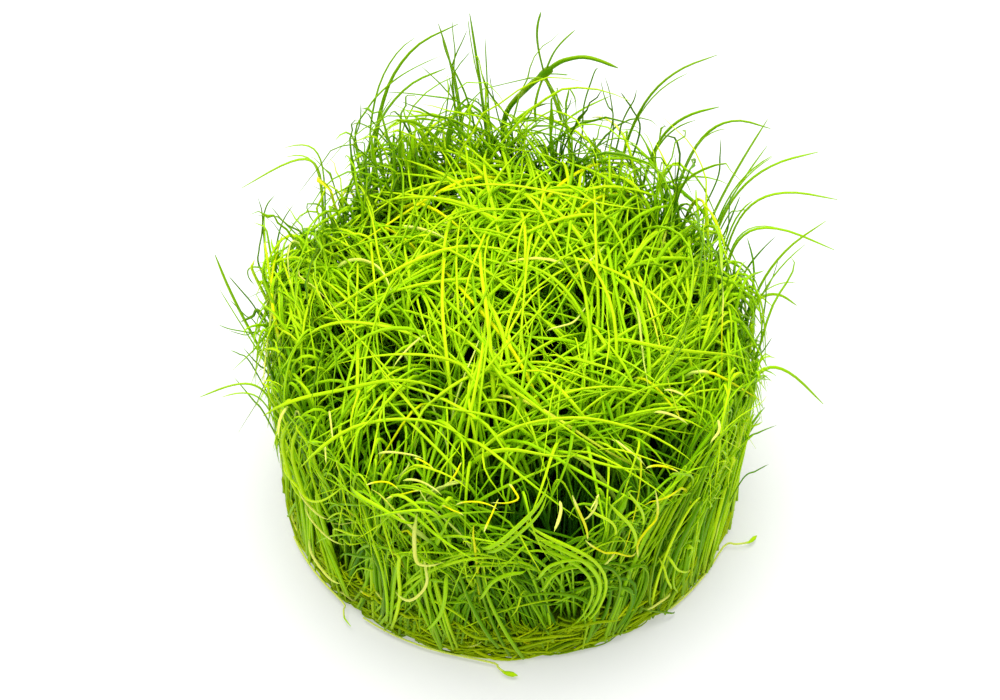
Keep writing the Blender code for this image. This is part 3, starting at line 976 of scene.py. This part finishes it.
def blade_traits(paths, kind, draw):
    """The attributes of blades of one kind, each as (blade, point) values."""
    count, steps = paths.shape[:2]
    t = np.linspace(0, 1, steps)
    shape = np.interp(t, WIDTH_PLACES, WIDTH_SHARES)
    half = draw.uniform(*kind["half_width"], count)[:, None] * np.ones(steps)
    half *= 1 + KNOT_SWELL * (draw.random((count, steps)) < kind.get("knots", 0))
    tint = np.clip(draw.normal(kind["tint"][0], kind["tint"][1], count), 0, 1)
    dry = np.where(draw.random(count) < kind["dry"], draw.uniform(0.35, 0.85, count), 0.0)
    from_here = draw.uniform(-0.4, 0.7, count)
    dying = np.clip((t - from_here[:, None]) / 0.25, 0, 1)
    twist = draw.uniform(-math.pi, math.pi, count)
    return {
        "half_width": half * MM * shape,
        "tint": np.repeat(tint[:, None], steps, 1),
        "dry": dry[:, None] * dying,
        "twist": twist[:, None] + t * TURN_PER_LENGTH,
        "along": np.repeat(t[None], count, 0),
        "light": painted_light(paths),
    }


print(f"a blade keeps {WIDTH_SHARES[-1]:.0%} of its width at its tip")

# %% [markdown]
# ## Plantlets
#
# The real plug is separate plantlets packed side by side, and the part has each as a tuft. Every
# blade goes to the tuft whose crown is nearest to its root, so that one mesh stands for one tuft.


# %% Grow every kind and share the blades among the tufts
SAME_LEVEL = 0.0002
# How much painted light raises the wall's tint at its sides.
SIDES_PAINTED_LIGHTER = 0.18


def crown_of(node):
    """The middle of a tuft's foot, from the lowest points of its CAD node."""
    points = np.array([v.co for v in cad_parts[node].data.vertices])
    low = points[points[:, 2] < points[:, 2].min() + SAME_LEVEL]
    return low.mean(axis=0)[:2] / MM


TUFTS = sorted(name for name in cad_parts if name.startswith("tuft_"))
crowns = np.array([crown_of(name) for name in TUFTS])
grown = {name: [] for name in TUFTS}
draw = np.random.default_rng(7)


def share_out(paths, traits):
    """Gives each blade to the tuft whose crown is nearest to its root."""
    owner = np.argmin(np.linalg.norm(paths[:, 0, None, :2] - crowns[None], axis=2), axis=1)
    for number, name in enumerate(TUFTS):
        mine = owner == number
        if mine.any():
            own = {trait: values[mine] for trait, values in traits.items()}
            grown[name].append((paths[mine], own))


for kind_name, kind in KINDS.items():
    paths = kind["rule"](draw, kind["count"])
    if kind_name != "thatch":
        paths = paths[clear_of_hollows(paths, draw)]
    paths = boxed(paths[clear_of_lace(paths, draw)])
    traits = blade_traits(paths, kind, draw)
    if kind_name == "wall":
        # Painted light: the wall's tint is raised towards both sides, so the sides come out paler than the
        # front.
        traits["tint"] += SIDES_PAINTED_LIGHTER * (paths[..., :1, 0] / FOOT_RADIUS) ** 2
    share_out(paths, traits)
    print(f"{kind_name}: {len(paths)} blades")

# %% [markdown]
# ## Blades that the picture singles out
#
# Some blades stand out from the tangle: a bundle that hooks over at the right of the front, a
# kinked pale strand left of it, knobbly yellow ones along the front rim, pale arches on top. Others
# stand out from the plug's edge, forked and kinked against the white.
#
# No rule would put them there, so each is given as pixels of the picture from end to end.
# A pixel alone has no depth. On the wall it lies just outside the cup, on top it lies a given
# height above the canopy, and at the edge it lies in an upright plane.


# %% A smooth line, and how dry a blade is
def smooth_line(points, steps=18):
    """An even line through the given points, by a Catmull-Rom curve."""
    p = np.array([2 * points[0] - points[1], *points, 2 * points[-1] - points[-2]])
    places = np.linspace(0, len(points) - 1, steps)
    which = np.minimum(places.astype(int), len(points) - 2)
    t = (places - which)[:, None]
    a, b, c, d = p[which], p[which + 1], p[which + 2], p[which + 3]
    return 0.5 * (2 * b + (c - a) * t + (2 * a - 5 * b + 4 * c - d) * t**2 + (3 * b - a - 3 * c + d) * t**3)


GREEN = 0.0
PALE = 0.5
YELLOW = 0.75
print(f"dryness runs from {GREEN} for green to {YELLOW} for yellow")

# %% Single blades on the wall
SINGLE_WALL = [
    # tint, dry, half width, pixels from end to end
    (0.80, GREEN, 0.32, [(527, 543), (562, 546), (593, 560), (606, 582), (599, 612), (583, 645)]),
    (0.78, GREEN, 0.31, [(531, 549), (562, 552), (588, 565), (600, 585), (593, 612), (577, 643)]),
    (0.70, GREEN, 0.30, [(538, 556), (562, 559), (583, 570), (593, 588), (586, 614), (570, 645)]),
    (0.72, GREEN, 0.28, [(537, 590), (548, 568), (572, 560), (590, 564), (600, 575)]),
    (0.66, GREEN, 0.26, [(541, 598), (552, 577), (570, 568), (584, 571)]),
    (0.80, PALE, 0.27, [(413, 522), (414, 540), (416, 560), (424, 566), (443, 569)]),
    (0.80, PALE, 0.24, [(420, 562), (427, 580), (421, 593), (407, 601), (386, 593)]),
    (0.74, GREEN, 0.28, [(444, 579), (445, 597), (439, 617), (420, 640)]),
    (0.90, YELLOW, 0.22, [(575, 504), (581, 516), (586, 528), (590, 547)]),
    (0.90, YELLOW, 0.18, [(588, 547), (596, 549), (606, 553), (616, 553), (630, 557), (641, 557)]),
    (0.92, GREEN, 0.22, [(588, 513), (606, 519), (615, 527), (617, 542)]),
    (0.84, GREEN, 0.24, [(614, 512), (629, 524), (636, 539), (634, 556)]),
    (0.84, GREEN, 0.24, [(632, 498), (642, 512), (645, 530)]),
    (0.90, YELLOW, 0.22, [(663, 498), (658, 518), (647, 530), (639, 541), (638, 550), (644, 567)]),
    (0.90, PALE, 0.16, [(598, 500), (594, 510), (583, 524)]),
    (0.80, PALE, 0.18, [(605, 566), (612, 557), (616, 552)]),
    (0.92, GREEN, 0.24, [(664, 563), (667, 579), (675, 593)]),
    (0.92, GREEN, 0.22, [(671, 559), (678, 570), (693, 574)]),
    (0.80, PALE, 0.18, [(647, 612), (660, 602), (673, 594)]),
    (0.30, GREEN, 0.20, [(644, 611), (662, 612), (679, 615)]),
    (0.70, GREEN, 0.28, [(478, 607), (492, 583), (512, 574), (528, 577)]),
    (0.75, GREEN, 0.28, [(478, 560), (505, 538), (530, 515), (552, 493)]),
    (0.72, GREEN, 0.26, [(484, 562), (508, 543), (533, 521), (550, 503)]),
    (0.78, GREEN, 0.28, [(345, 492), (375, 505), (400, 520), (415, 528)]),
    (0.95, GREEN, 0.26, [(278, 440), (282, 468), (297, 486), (309, 500), (323, 501), (340, 490)]),
    (0.90, PALE, 0.22, [(296, 484), (303, 498), (314, 511), (326, 523)]),
    (0.90, PALE, 0.18, [(301, 506), (312, 521), (325, 535), (341, 549)]),
    (0.80, PALE, 0.20, [(304, 540), (315, 560), (328, 577), (340, 588)]),
    (0.92, GREEN, 0.30, [(279, 422), (283, 450), (291, 480), (300, 510)]),
    (0.88, GREEN, 0.28, [(288, 430), (293, 460), (303, 492), (316, 525)]),
]
print(len(SINGLE_WALL), "single blades on the wall")

# %% Single blades on top
SINGLE_TOP = [
    # tint, dry, half width, height above the canopy, pixels from end to end
    (0.95, PALE, 0.26, 0.0, [(335, 263), (350, 260), (366, 261), (383, 272), (396, 300)]),
    (0.95, PALE, 0.24, 0.3, [(396, 224), (425, 230), (450, 239)]),
    (0.90, PALE, 0.20, 0.0, [(428, 331), (410, 347), (392, 366)]),
    (0.90, PALE, 0.18, 0.0, [(546, 328), (562, 326), (576, 320), (589, 300)]),
    (0.90, PALE, 0.24, -1.0, [(288, 404), (280, 420), (278, 436)]),
    (0.90, PALE, 0.16, -1.0, [(329, 408), (331, 424), (333, 441)]),
    (0.90, PALE, 0.16, -1.0, [(325, 443), (326, 463)]),
    (0.95, GREEN, 0.30, 0.2, [(509, 331), (510, 345), (516, 357), (528, 367)]),
    (0.95, GREEN, 0.28, 0.2, [(464, 277), (481, 280), (490, 292)]),
    (0.90, YELLOW, 0.17, -1.5, [(509, 481), (514, 490), (518, 499), (505, 503), (490, 500)]),
    (0.90, PALE, 0.24, -2.0, [(560, 499), (561, 510), (558, 522), (554, 530)]),
    (0.85, YELLOW, 0.15, -1.0, [(366, 483), (386, 482), (400, 489)]),
    (0.85, YELLOW, 0.15, -1.0, [(386, 497), (403, 494), (420, 489)]),
    (0.90, PALE, 0.20, -0.5, [(403, 478), (422, 482), (442, 493)]),
    (0.85, YELLOW, 0.17, -0.5, [(448, 484), (456, 473), (462, 460)]),
    (0.85, YELLOW, 0.15, -1.5, [(456, 502), (478, 502), (498, 507)]),
    (0.85, YELLOW, 0.15, -2.0, [(484, 530), (492, 514), (499, 496)]),
    (0.85, YELLOW, 0.15, -1.5, [(442, 504), (452, 510), (464, 514)]),
    (0.90, PALE, 0.19, -0.5, [(378, 451), (400, 453), (425, 457)]),
    (0.85, YELLOW, 0.15, -0.5, [(414, 457), (424, 462), (434, 468)]),
    (0.85, PALE, 0.15, -1.0, [(599, 493), (595, 502), (590, 510)]),
    (0.90, PALE, 0.17, -0.5, [(664, 389), (674, 391), (686, 396)]),
    (0.90, PALE, 0.17, -0.5, [(654, 410), (672, 415), (689, 423)]),
    (0.90, PALE, 0.24, -1.0, [(718, 418), (719, 431), (710, 442)]),
    (0.90, PALE, 0.16, -1.0, [(612, 437), (628, 450), (646, 464)]),
    (0.90, YELLOW, 0.16, -1.0, [(646, 466), (662, 466), (680, 471)]),
    (0.90, GREEN, 0.27, 0.2, [(470, 445), (520, 425), (580, 418), (640, 430), (700, 452)]),
    (0.90, GREEN, 0.27, 0.2, [(420, 400), (480, 372), (540, 362), (600, 372)]),
    (0.94, GREEN, 0.28, 0.2, [(540, 250), (590, 262), (640, 285), (690, 320)]),
    (0.90, GREEN, 0.27, 0.2, [(300, 330), (345, 322), (400, 330), (450, 352)]),
    (0.86, GREEN, 0.25, 0.2, [(262, 402), (330, 392), (400, 380), (470, 392)]),
    (0.84, GREEN, 0.24, 0.2, [(300, 455), (360, 425), (420, 420), (480, 436)]),
    (0.88, GREEN, 0.26, 0.2, [(600, 330), (650, 345), (700, 352), (756, 352)]),
]
print(len(SINGLE_TOP), "single blades on top")

# %% Single blades at the edge
SINGLE_EDGE = [
    # tint, half width, how far behind the axis, pixels from the tip to where it enters the tangle
    (0.60, 0.13, 27, [(445, 54), (420, 65), (399, 77), (381, 92), (368, 108), (355, 135)]),
    (0.50, 0.10, 27, [(420, 65), (432, 76), (444, 88), (455, 105)]),
    (0.55, 0.12, 27, [(381, 92), (405, 93), (430, 96), (454, 100), (470, 110), (482, 128)]),
    (0.55, 0.12, 27, [(452, 16), (453, 34), (455, 52), (454, 70), (458, 92), (462, 120)]),
    (0.50, 0.14, 27, [(441, 28), (444, 46), (450, 62), (458, 78), (466, 96), (474, 125)]),
    (0.58, 0.12, 27, [(468, 10), (469, 28), (472, 48), (476, 69), (481, 90), (486, 122)]),
    (0.45, 0.10, 27, [(468, 28), (462, 42), (456, 55), (452, 72)]),
    (0.45, 0.10, 27, [(471, 51), (465, 58), (458, 67), (452, 82)]),
    (0.45, 0.12, 27, [(451, 80), (448, 98), (445, 122), (443, 140)]),
    (0.42, 0.15, 26, [(349, 127), (358, 123), (372, 129), (384, 139), (393, 154)]),
    (0.45, 0.13, 26, [(361, 101), (360, 122), (354, 150)]),
    (0.32, 0.14, 26, [(482, 73), (486, 86), (492, 97), (503, 111), (512, 130)]),
    (0.40, 0.12, 26, [(489, 71), (492, 90), (497, 112), (502, 135)]),
    (0.40, 0.14, 26, [(599, 67), (595, 71), (591, 82), (586, 97), (583, 112), (582, 135)]),
    (0.35, 0.13, 26, [(604, 74), (609, 90), (612, 107), (613, 118), (612, 140)]),
    (0.50, 0.11, 26, [(600, 77), (604, 95), (608, 106), (613, 118)]),
    (0.28, 0.14, 26, [(620, 91), (626, 100), (632, 109), (640, 130)]),
    (0.32, 0.17, 26, [(637, 88), (634, 100), (627, 112), (621, 126), (618, 142)]),
    (0.72, 0.20, 26, [(615, 94), (597, 102), (583, 109), (567, 120), (560, 134), (556, 150)]),
    (0.40, 0.12, 26, [(572, 96), (569, 106), (564, 116), (562, 135)]),
    (0.42, 0.14, 14, [(257, 195), (262, 212), (262, 232), (259, 250), (260, 268)]),
    (0.45, 0.14, 14, [(276, 194), (267, 205), (263, 221), (264, 238), (268, 264)]),
    (0.50, 0.13, 16, [(269, 204), (283, 221), (295, 233), (312, 250)]),
    (0.40, 0.12, 14, [(295, 202), (283, 221), (277, 243), (276, 264)]),
    (0.50, 0.15, 8, [(256, 287), (249, 278), (248, 270), (254, 267), (263, 269), (268, 278)]),
    (0.35, 0.13, 5, [(227, 274), (239, 288), (251, 302), (259, 315)]),
    (0.40, 0.11, 3, [(229, 299), (238, 308), (246, 316), (256, 324)]),
    (0.45, 0.10, 0, [(217, 324), (230, 329), (254, 333), (264, 334)]),
    (0.45, 0.10, 0, [(227, 330), (245, 335), (259, 335)]),
    (0.40, 0.12, -3, [(242, 346), (252, 358), (260, 366), (268, 374)]),
    (0.45, 0.10, -3, [(230, 350), (239, 354), (250, 362)]),
    (0.50, 0.12, -8, [(233, 376), (244, 389), (254, 401), (264, 413)]),
    (0.35, 0.26, 4, [(240, 322), (247, 319), (253, 316), (260, 312)]),
    (0.40, 0.12, 18, [(721, 136), (720, 156), (717, 180)]),
    (0.42, 0.13, 15, [(741, 194), (734, 211), (725, 232)]),
    (0.42, 0.13, 15, [(731, 191), (729, 212), (726, 235)]),
    (0.45, 0.10, 13, [(752, 209), (738, 211), (728, 216)]),
    (0.40, 0.14, 9, [(777, 235), (760, 252), (745, 272)]),
    (0.42, 0.13, 7, [(780, 255), (771, 281), (760, 299)]),
    (0.50, 0.13, 2, [(765, 275), (766, 296), (762, 325), (758, 350)]),
    (0.42, 0.12, -2, [(773, 336), (763, 351), (752, 364)]),
    (0.42, 0.11, -4, [(768, 368), (762, 356), (756, 346)]),
    (0.42, 0.11, -5, [(770, 374), (752, 383), (742, 388)]),
    (0.45, 0.13, -12, [(777, 425), (760, 432), (745, 442)]),
    (0.40, 0.12, -14, [(769, 464), (756, 471), (742, 480)]),
]
# The listed pixels end where the blade enters the tangle. Its root lies this many pixels further
# down, and this share of the way towards the middle of the picture's width.
ROOT_BELOW = 45
ROOT_INWARD = 0.10
print(len(SINGLE_EDGE), "single blades at the edge")

# %% Draw the single blades
END_DIP = 0.10
# Single blades get little of the painted shade.
LEAST_LIGHT = 0.9


def single(path, tint, dry, half_width, inward):
    """One blade with its own colour and width, given to the nearest tuft. Its ends dip inward."""
    kind = dict(half_width=(half_width, half_width), tint=(tint, 0.0), dry=0.0)
    length = np.linalg.norm(np.diff(path, axis=0), axis=1).sum()
    ends = np.abs(2 * np.linspace(0, 1, len(path)) - 1) ** 4
    paths = (path + ends[:, None] * END_DIP * length * inward)[None]
    traits = blade_traits(paths, kind, draw)
    traits["half_width"] = traits["half_width"] * np.interp(ends, [0.4, 1.0], [1.0, 0.35])
    traits["dry"] = dry * np.sin(math.pi * np.linspace(0.06, 0.94, len(path)))[None] ** 0.5
    traits["light"] = np.maximum(traits["light"], LEAST_LIGHT)
    share_out(paths, traits)


# A single blade may be a whole blade or the stretch of one that comes to the surface.
for tint, dry, half_width, pixels in SINGLE_WALL:
    path = smooth_line([on_wall(*pixel) for pixel in pixels])
    single(path, tint, dry, half_width, -path * [1, 1, 0] / FOOT_RADIUS)
for tint, dry, half_width, above, pixels in SINGLE_TOP:
    path = smooth_line([on_top(*pixel, above) for pixel in pixels])
    single(path, tint, dry, half_width, np.array([0, 0, -1]))
for tint, half_width, behind, pixels in SINGLE_EDGE:
    across, down = pixels[-1]
    root = (across + ROOT_INWARD * (PICTURE_WIDTH / 2 - across), down + ROOT_BELOW)
    path = smooth_line([upright(*pixel, behind) for pixel in [*pixels, root]], steps=24)
    single(boxed(path)[::-1], tint, GREEN, half_width, np.zeros(3))
print(len(SINGLE_WALL) + len(SINGLE_TOP) + len(SINGLE_EDGE), "single blades")

# %% Sweep each tuft's blades into one piece
triangles = {}


def joined(batches):
    """The paths and traits of several batches as flat lists, with a number for each blade."""
    paths, traits = [], {}
    for batch, values in batches:
        paths += list(batch)
        for trait, rows in values.items():
            traits.setdefault(trait, []).extend(rows)
    traits["blade"] = [np.full(len(path), number, float) for number, path in enumerate(paths)]
    return paths, traits


def dress(name, batches, finish, slot, *nodes, sides=6, flatness=0.75):
    """Sweeps the batches of blades into one piece that stands for the CAD nodes."""
    mesh = sweep_blades(name, *joined(batches), finish, sides, flatness)
    triangles[name] = sum(len(p.vertices) - 2 for p in mesh.polygons)
    return place_piece(name, mesh, slot, *nodes)


for name in TUFTS:
    dress(name.replace("tuft", "plantlet"), grown[name], blade_finish, "blades", name)
print(f"{len(TUFTS)} plantlets, {sum(triangles.values())} triangles")

# %% [markdown]
# ## Strays, runners and the daughter plant
#
# Thin blades stand clear of the plug, runners creep along its foot, and a daughter plant hangs on a
# stalk at the back. The CAD has each as a coarse tube. Smoothing that tube would keep it thick, so
# only its middle line is read, ring by ring, and a finer blade is drawn along it. Beside each stray
# lie one or two thinner ones, because such blades grow in bunches.


# %% The middle line of a thin solid
WELD = 0.001 * MM


def neighbours_of(node):
    """The welded points of a CAD node, and each point's neighbours."""
    welded = bmesh.new()
    welded.from_mesh(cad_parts[node].data)
    bmesh.ops.remove_doubles(welded, verts=welded.verts, dist=WELD)
    welded.verts.index_update()
    points = np.array([v.co for v in welded.verts]) / MM
    near = [{e.other_vert(v).index for e in v.link_edges} for v in welded.verts]
    welded.free()
    return points, near


def rings_from(start, near):
    """The points in rings, each one edge further from the start."""
    done, rings = set(start), [set(start)]
    while rings[-1]:
        step = set().union(*(near[i] for i in rings[-1])) - done
        done |= step
        rings.append(step)
    return [sorted(ring) for ring in rings[:-1]]


def spine_of(node):
    """The middle line of a pointed tube, from its foot to its tip."""
    points, near = neighbours_of(node)
    # The tip is the point from which all the rings are alike.
    for tip in range(len(points)):
        rings = rings_from([tip], near)
        if len({len(ring) for ring in rings[1:]}) == 1:
            break
    return np.array([points[ring].mean(axis=0) for ring in rings])[::-1]


print(f"the line of stray_left_arch has {len(spine_of('stray_left_arch'))} points")

# %% Strays and their partners
STRAYS = sorted(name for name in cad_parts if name.startswith("stray_"))
STRAY_TINT = {"left": 0.68, "right": 0.64, "back": 0.52}
STRAY_HALF_WIDTH = 0.22
STRAY_STEPS = 22
THREE_ABREAST = ("stray_left_arch", "stray_back_left_high", "stray_right_upper")
PARTNER_PALER = 0.08
PARTNER_HALF_WIDTH = 0.14
# How far a partner's foot lies from the stray, and how far its tip strays from it.
PARTNER_FOOT_APART = 0.30
PARTNER_TIP_APART = 1.4


def blunt(steps):
    """How wide a blade is that keeps its width almost to its tip."""
    return np.interp(np.linspace(0, 1, steps), [0, 0.10, 0.70, 0.93, 1.0], [0.8, 1.0, 1.0, 0.8, 0.25])


def own_traits(path, tint, half_width, shape, dry=0.0):
    """One blade that stands in full light, and its traits. Shape is its width at each point."""
    kind = dict(half_width=(half_width, half_width), tint=(tint, 0.0), dry=0.0)
    traits = blade_traits(path[None], kind, draw)
    everywhere = np.ones((1, len(path)))
    traits["half_width"] = half_width * MM * shape[None]
    traits["dry"] = dry * everywhere
    traits["light"] = everywhere
    return path[None], traits


for name in STRAYS:
    line = spine_of(name)
    tint = STRAY_TINT[name.split("_")[1]]
    path = smooth_line(list(line), STRAY_STEPS)
    batches = [own_traits(path, tint, STRAY_HALF_WIDTH, blunt(STRAY_STEPS))]
    for _ in range(2 if name in THREE_ABREAST else 1):
        beside = draw.normal(0, PARTNER_FOOT_APART, 3)
        spread = np.linspace(0, 1, len(line))[:, None] ** 2 * draw.normal(0, PARTNER_TIP_APART, 3)
        path = smooth_line(list(line + beside + spread), STRAY_STEPS)[: draw.integers(15, 21)]
        batches.append(own_traits(path, tint + PARTNER_PALER, PARTNER_HALF_WIDTH, blunt(len(path))))
    dress(name.replace("stray", "wisp"), batches, blade_finish, "strays", name)
print(len(STRAYS), "strays")

# %% [markdown]
# A runner lies against the foot for the first half of its length and then turns out onto the
# surface. The solid keeps its distance there all the way, so the blade's first half is moved in to
# the cup's own radius. Two runners end in a fresh bud.

# %% Runners
RUNNERS = sorted(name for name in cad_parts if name.startswith("runner_"))
RUNNER_TINT = 0.86
RUNNER_HALF_WIDTH = 0.17
RUNNER_STEPS = 20
RUNNER_DRY = 0.36
BUD_DRY = 0.05
BUD_STEPS = 4
BUDDING = ("runner_front", "runner_right")
along = np.linspace(0, 1, RUNNER_STEPS)
dry = np.where(np.arange(RUNNER_STEPS) < RUNNER_STEPS - BUD_STEPS, RUNNER_DRY, BUD_DRY)
for name in RUNNERS:
    path = smooth_line(list(spine_of(name)), RUNNER_STEPS)
    close = polar(cup_radius(1.0) + 0.3, np.arctan2(path[:, 1], path[:, 0]), path[:, 2])
    path = close + np.clip((along - 0.45) / 0.4, 0, 1)[:, None] * (path - close)
    swell = [2.0, 2.3] if name in BUDDING else [0.8, 0.6]
    shape = np.interp(along, [0, 0.82, 0.89, 0.94, 1.0], [0.9, 0.9, *swell, 0.3])
    batch = own_traits(path, RUNNER_TINT, RUNNER_HALF_WIDTH, shape, dry)
    dress(name.replace("runner", "creeper"), [batch], blade_finish, "runners", name)
print(len(RUNNERS), "runners")

# %% [markdown]
# The daughter plant's stalk rises out of the back, swells towards the heart and carries leaves of
# very different length. The solid says how far back its heart stands. The picture says the rest:
# the stalk and every leaf are pixels in an upright plane through the heart, and each leaf comes a
# little nearer towards its tip.

# %% The daughter plant
STALK_STEPS = 20
STALK_TINT = 0.30
STALK_HALF_WIDTH = (0.34, 0.56)
STALK = [
    # pixels from the heart down into the plug
    (545, 74), (535, 81), (526, 89), (517, 98), (509, 108), (505, 118), (503, 132), (504, 160), (505, 200),
]
# A dry sheath wraps the stalk where it leaves the plug, at this share of its length.
SHEATH_PLACE = 0.70
SHEATH_LENGTH = 0.04
SHEATH_DRY = 0.30
LEAF_STEPS = 14
LEAVES = [
    # half width, tint, how much nearer its tip is, pixels from the heart to the tip
    (0.62, 0.30, 0.2, [(539, 78), (545, 73), (552, 68)]),
    (0.20, 0.50, 0.0, [(544, 73), (539, 52), (537, 36), (538, 23), (541, 12)]),
    (0.15, 0.56, 1.0, [(545, 72), (553, 54), (562, 42), (575, 30)]),
    (0.34, 0.44, 2.0, [(544, 73), (558, 63), (569, 59), (583, 57), (598, 60), (618, 68)]),
    (0.11, 0.50, 3.0, [(545, 74), (557, 74), (568, 75)]),
    (0.24, 0.56, 1.5, [(544, 75), (538, 92), (535, 108), (536, 124)]),
    (0.32, 0.36, 3.5, [(544, 75), (552, 92), (557, 106), (562, 122)]),
    (0.13, 0.60, 2.5, [(545, 76), (556, 95), (563, 108)]),
]


def heart_of(node):
    """Where the stalk ends: the middle of the last ring that has as many points as its foot."""
    points, near = neighbours_of(node)
    foot = [i for i, point in enumerate(points) if point[2] < points[:, 2].min() + SAME_LEVEL / MM]
    rings = itertools.takewhile(lambda ring: len(ring) == len(foot), rings_from(foot, near))
    return points[list(rings)[-1]].mean(axis=0)


behind = heart_of("daughter_sprig")[1]
along = np.linspace(0, 1, STALK_STEPS)
climb = smooth_line([upright(*pixel, behind) for pixel in STALK], STALK_STEPS)[::-1]
sheath = SHEATH_DRY * np.exp(-(((along - SHEATH_PLACE) / SHEATH_LENGTH) ** 2))
batches = [own_traits(climb, STALK_TINT, 1.0, np.linspace(*STALK_HALF_WIDTH, STALK_STEPS), sheath)]
for half_width, tint, nearer, pixels in LEAVES:
    steps = np.linspace(0, nearer, len(pixels))
    leaf = smooth_line([upright(*pixel, behind - step) for pixel, step in zip(pixels, steps)], LEAF_STEPS)
    batches.append(own_traits(boxed(leaf), tint, half_width, blunt(LEAF_STEPS)))
dress("daughter_plant", batches, blade_finish, "strays", "daughter_sprig")
print(f"{len(LEAVES)} leaves on the daughter plant, {sum(triangles.values())} triangles so far")

# %% [markdown]
# ## The root mat
#
# Roots and old blades wound round and round in the bottom of the cup until they felted. A bump map
# on a smooth drum would look flat against the light. So a dark core fills the middle, strands circle
# it, each on its own height and turn, diving in at both ends, and short fibres lie on its side at
# every angle.


# %% The felted core
CORE_SEGMENTS = 120
CORE_ROUGH = 0.5
CORE_PROFILE = [
    # height, distance to the axis
    (0.0, 0.0), (0.0, 31.2), (1.0, 31.5), (2.4, 31.6), (3.8, 31.6), (5.2, 31.4), (6.2, 30.6), (6.4, 0.0),
]


def mat_core():
    """A drum a little inside the mat, with a rough side."""
    rough = np.random.default_rng(3)
    points, faces = [], []
    for height, level in CORE_PROFILE:
        for k in range(CORE_SEGMENTS):
            angle = math.tau * k / CORE_SEGMENTS
            far = level - (rough.uniform(0, CORE_ROUGH) if level else 0)
            points.append((far * math.cos(angle) * MM, far * math.sin(angle) * MM, height * MM))
    for row in range(len(CORE_PROFILE) - 1):
        for k in range(CORE_SEGMENTS):
            a = row * CORE_SEGMENTS + k
            b = row * CORE_SEGMENTS + (k + 1) % CORE_SEGMENTS
            faces.append((a, b, b + CORE_SEGMENTS, a + CORE_SEGMENTS))
    mesh = bpy.data.meshes.new("mat_core")
    mesh.from_pydata(points, [], faces)
    tidy = bmesh.new()
    tidy.from_mesh(mesh)
    bmesh.ops.remove_doubles(tidy, verts=tidy.verts, dist=WELD)
    bmesh.ops.recalc_face_normals(tidy, faces=tidy.faces)
    tidy.to_mesh(mesh)
    tidy.free()
    mesh.materials.append(felt_finish)
    return mesh


core = place_piece("mat_core", mat_core(), "roots", "root_mat")
print(len(core.data.polygons), "faces on the mat's core")


# %% Strands and fibres round the mat
def round_strands(draw, count):
    """Strands that lie along the cup's wall low down and lean as the wall above them does."""
    azimuth = draw.uniform(-math.pi, math.pi, count)[:, None]
    span = draw.uniform(0.08, 0.42, count)[:, None]
    low = draw.uniform(0.4, 8.0, count)[:, None] * draw.uniform(0.3, 1, count)[:, None]
    rise = (30 * lean(azimuth) + draw.normal(0, 12, (count, 1))) * span
    t = np.linspace(0, 1, 12)[None]
    height = np.clip(low + rise * (t - 0.5) + 0.5 * np.sin(math.tau * (t + azimuth)), 0.3, None)
    dive = 1.2 * np.abs(2 * t - 1) ** 5
    level = cup_radius(height) + draw.uniform(-1.5, 0.10, count)[:, None] - dive
    return polar(level, azimuth + span * (t - 0.5), height)


def felt_fibres(draw, count):
    """Short fibres at every angle, a little bent, on the side of the mat."""
    azimuth = draw.uniform(-math.pi, math.pi, count)[:, None]
    height = draw.uniform(0.3, MAT_TOP + 0.8, count)[:, None]
    angle = draw.normal(0, 0.7, count)[:, None]
    half = draw.uniform(1.0, 2.6, count)[:, None]
    t = np.linspace(-1, 1, 6)[None]
    across = half * t * np.cos(angle) + draw.uniform(-0.6, 0.6, (count, 1)) * t**2
    up = half * t * np.sin(angle) + draw.uniform(-0.6, 0.6, (count, 1)) * t**2
    level = cup_radius(height) - draw.uniform(0.3, 1.2, count)[:, None] - 0.5 * t**4
    return polar(level, azimuth + across / FOOT_RADIUS, np.maximum(height + up, 0.3))


MAT_KINDS = [
    dict(rule=round_strands, count=700, half_width=(0.13, 0.27), tint=(0.46, 0.14), dry=0.05),
    dict(rule=felt_fibres, count=2000, half_width=(0.11, 0.21), tint=(0.46, 0.14), dry=0.05),
]
batches = []
for kind in MAT_KINDS:
    strands = boxed(kind["rule"](draw, kind["count"]))
    traits = blade_traits(strands, kind, draw)
    # The lowest strands, on the surface, are the palest, and a painted shade makes the strands a little
    # darker towards the bottom.
    traits["tint"] += 0.20 * np.clip(1 - strands[..., 2] / 2.5, 0, 1)
    traits["light"] = 0.78 + 0.22 * np.clip((strands[..., 2] - 1) / 5, 0, 1)
    batches.append((strands, traits))
dress("mat_strands", batches, mat_finish, "roots", "root_mat", sides=5)
print(f"{triangles['mat_strands']} triangles in the strands, {sum(triangles.values())} in all")
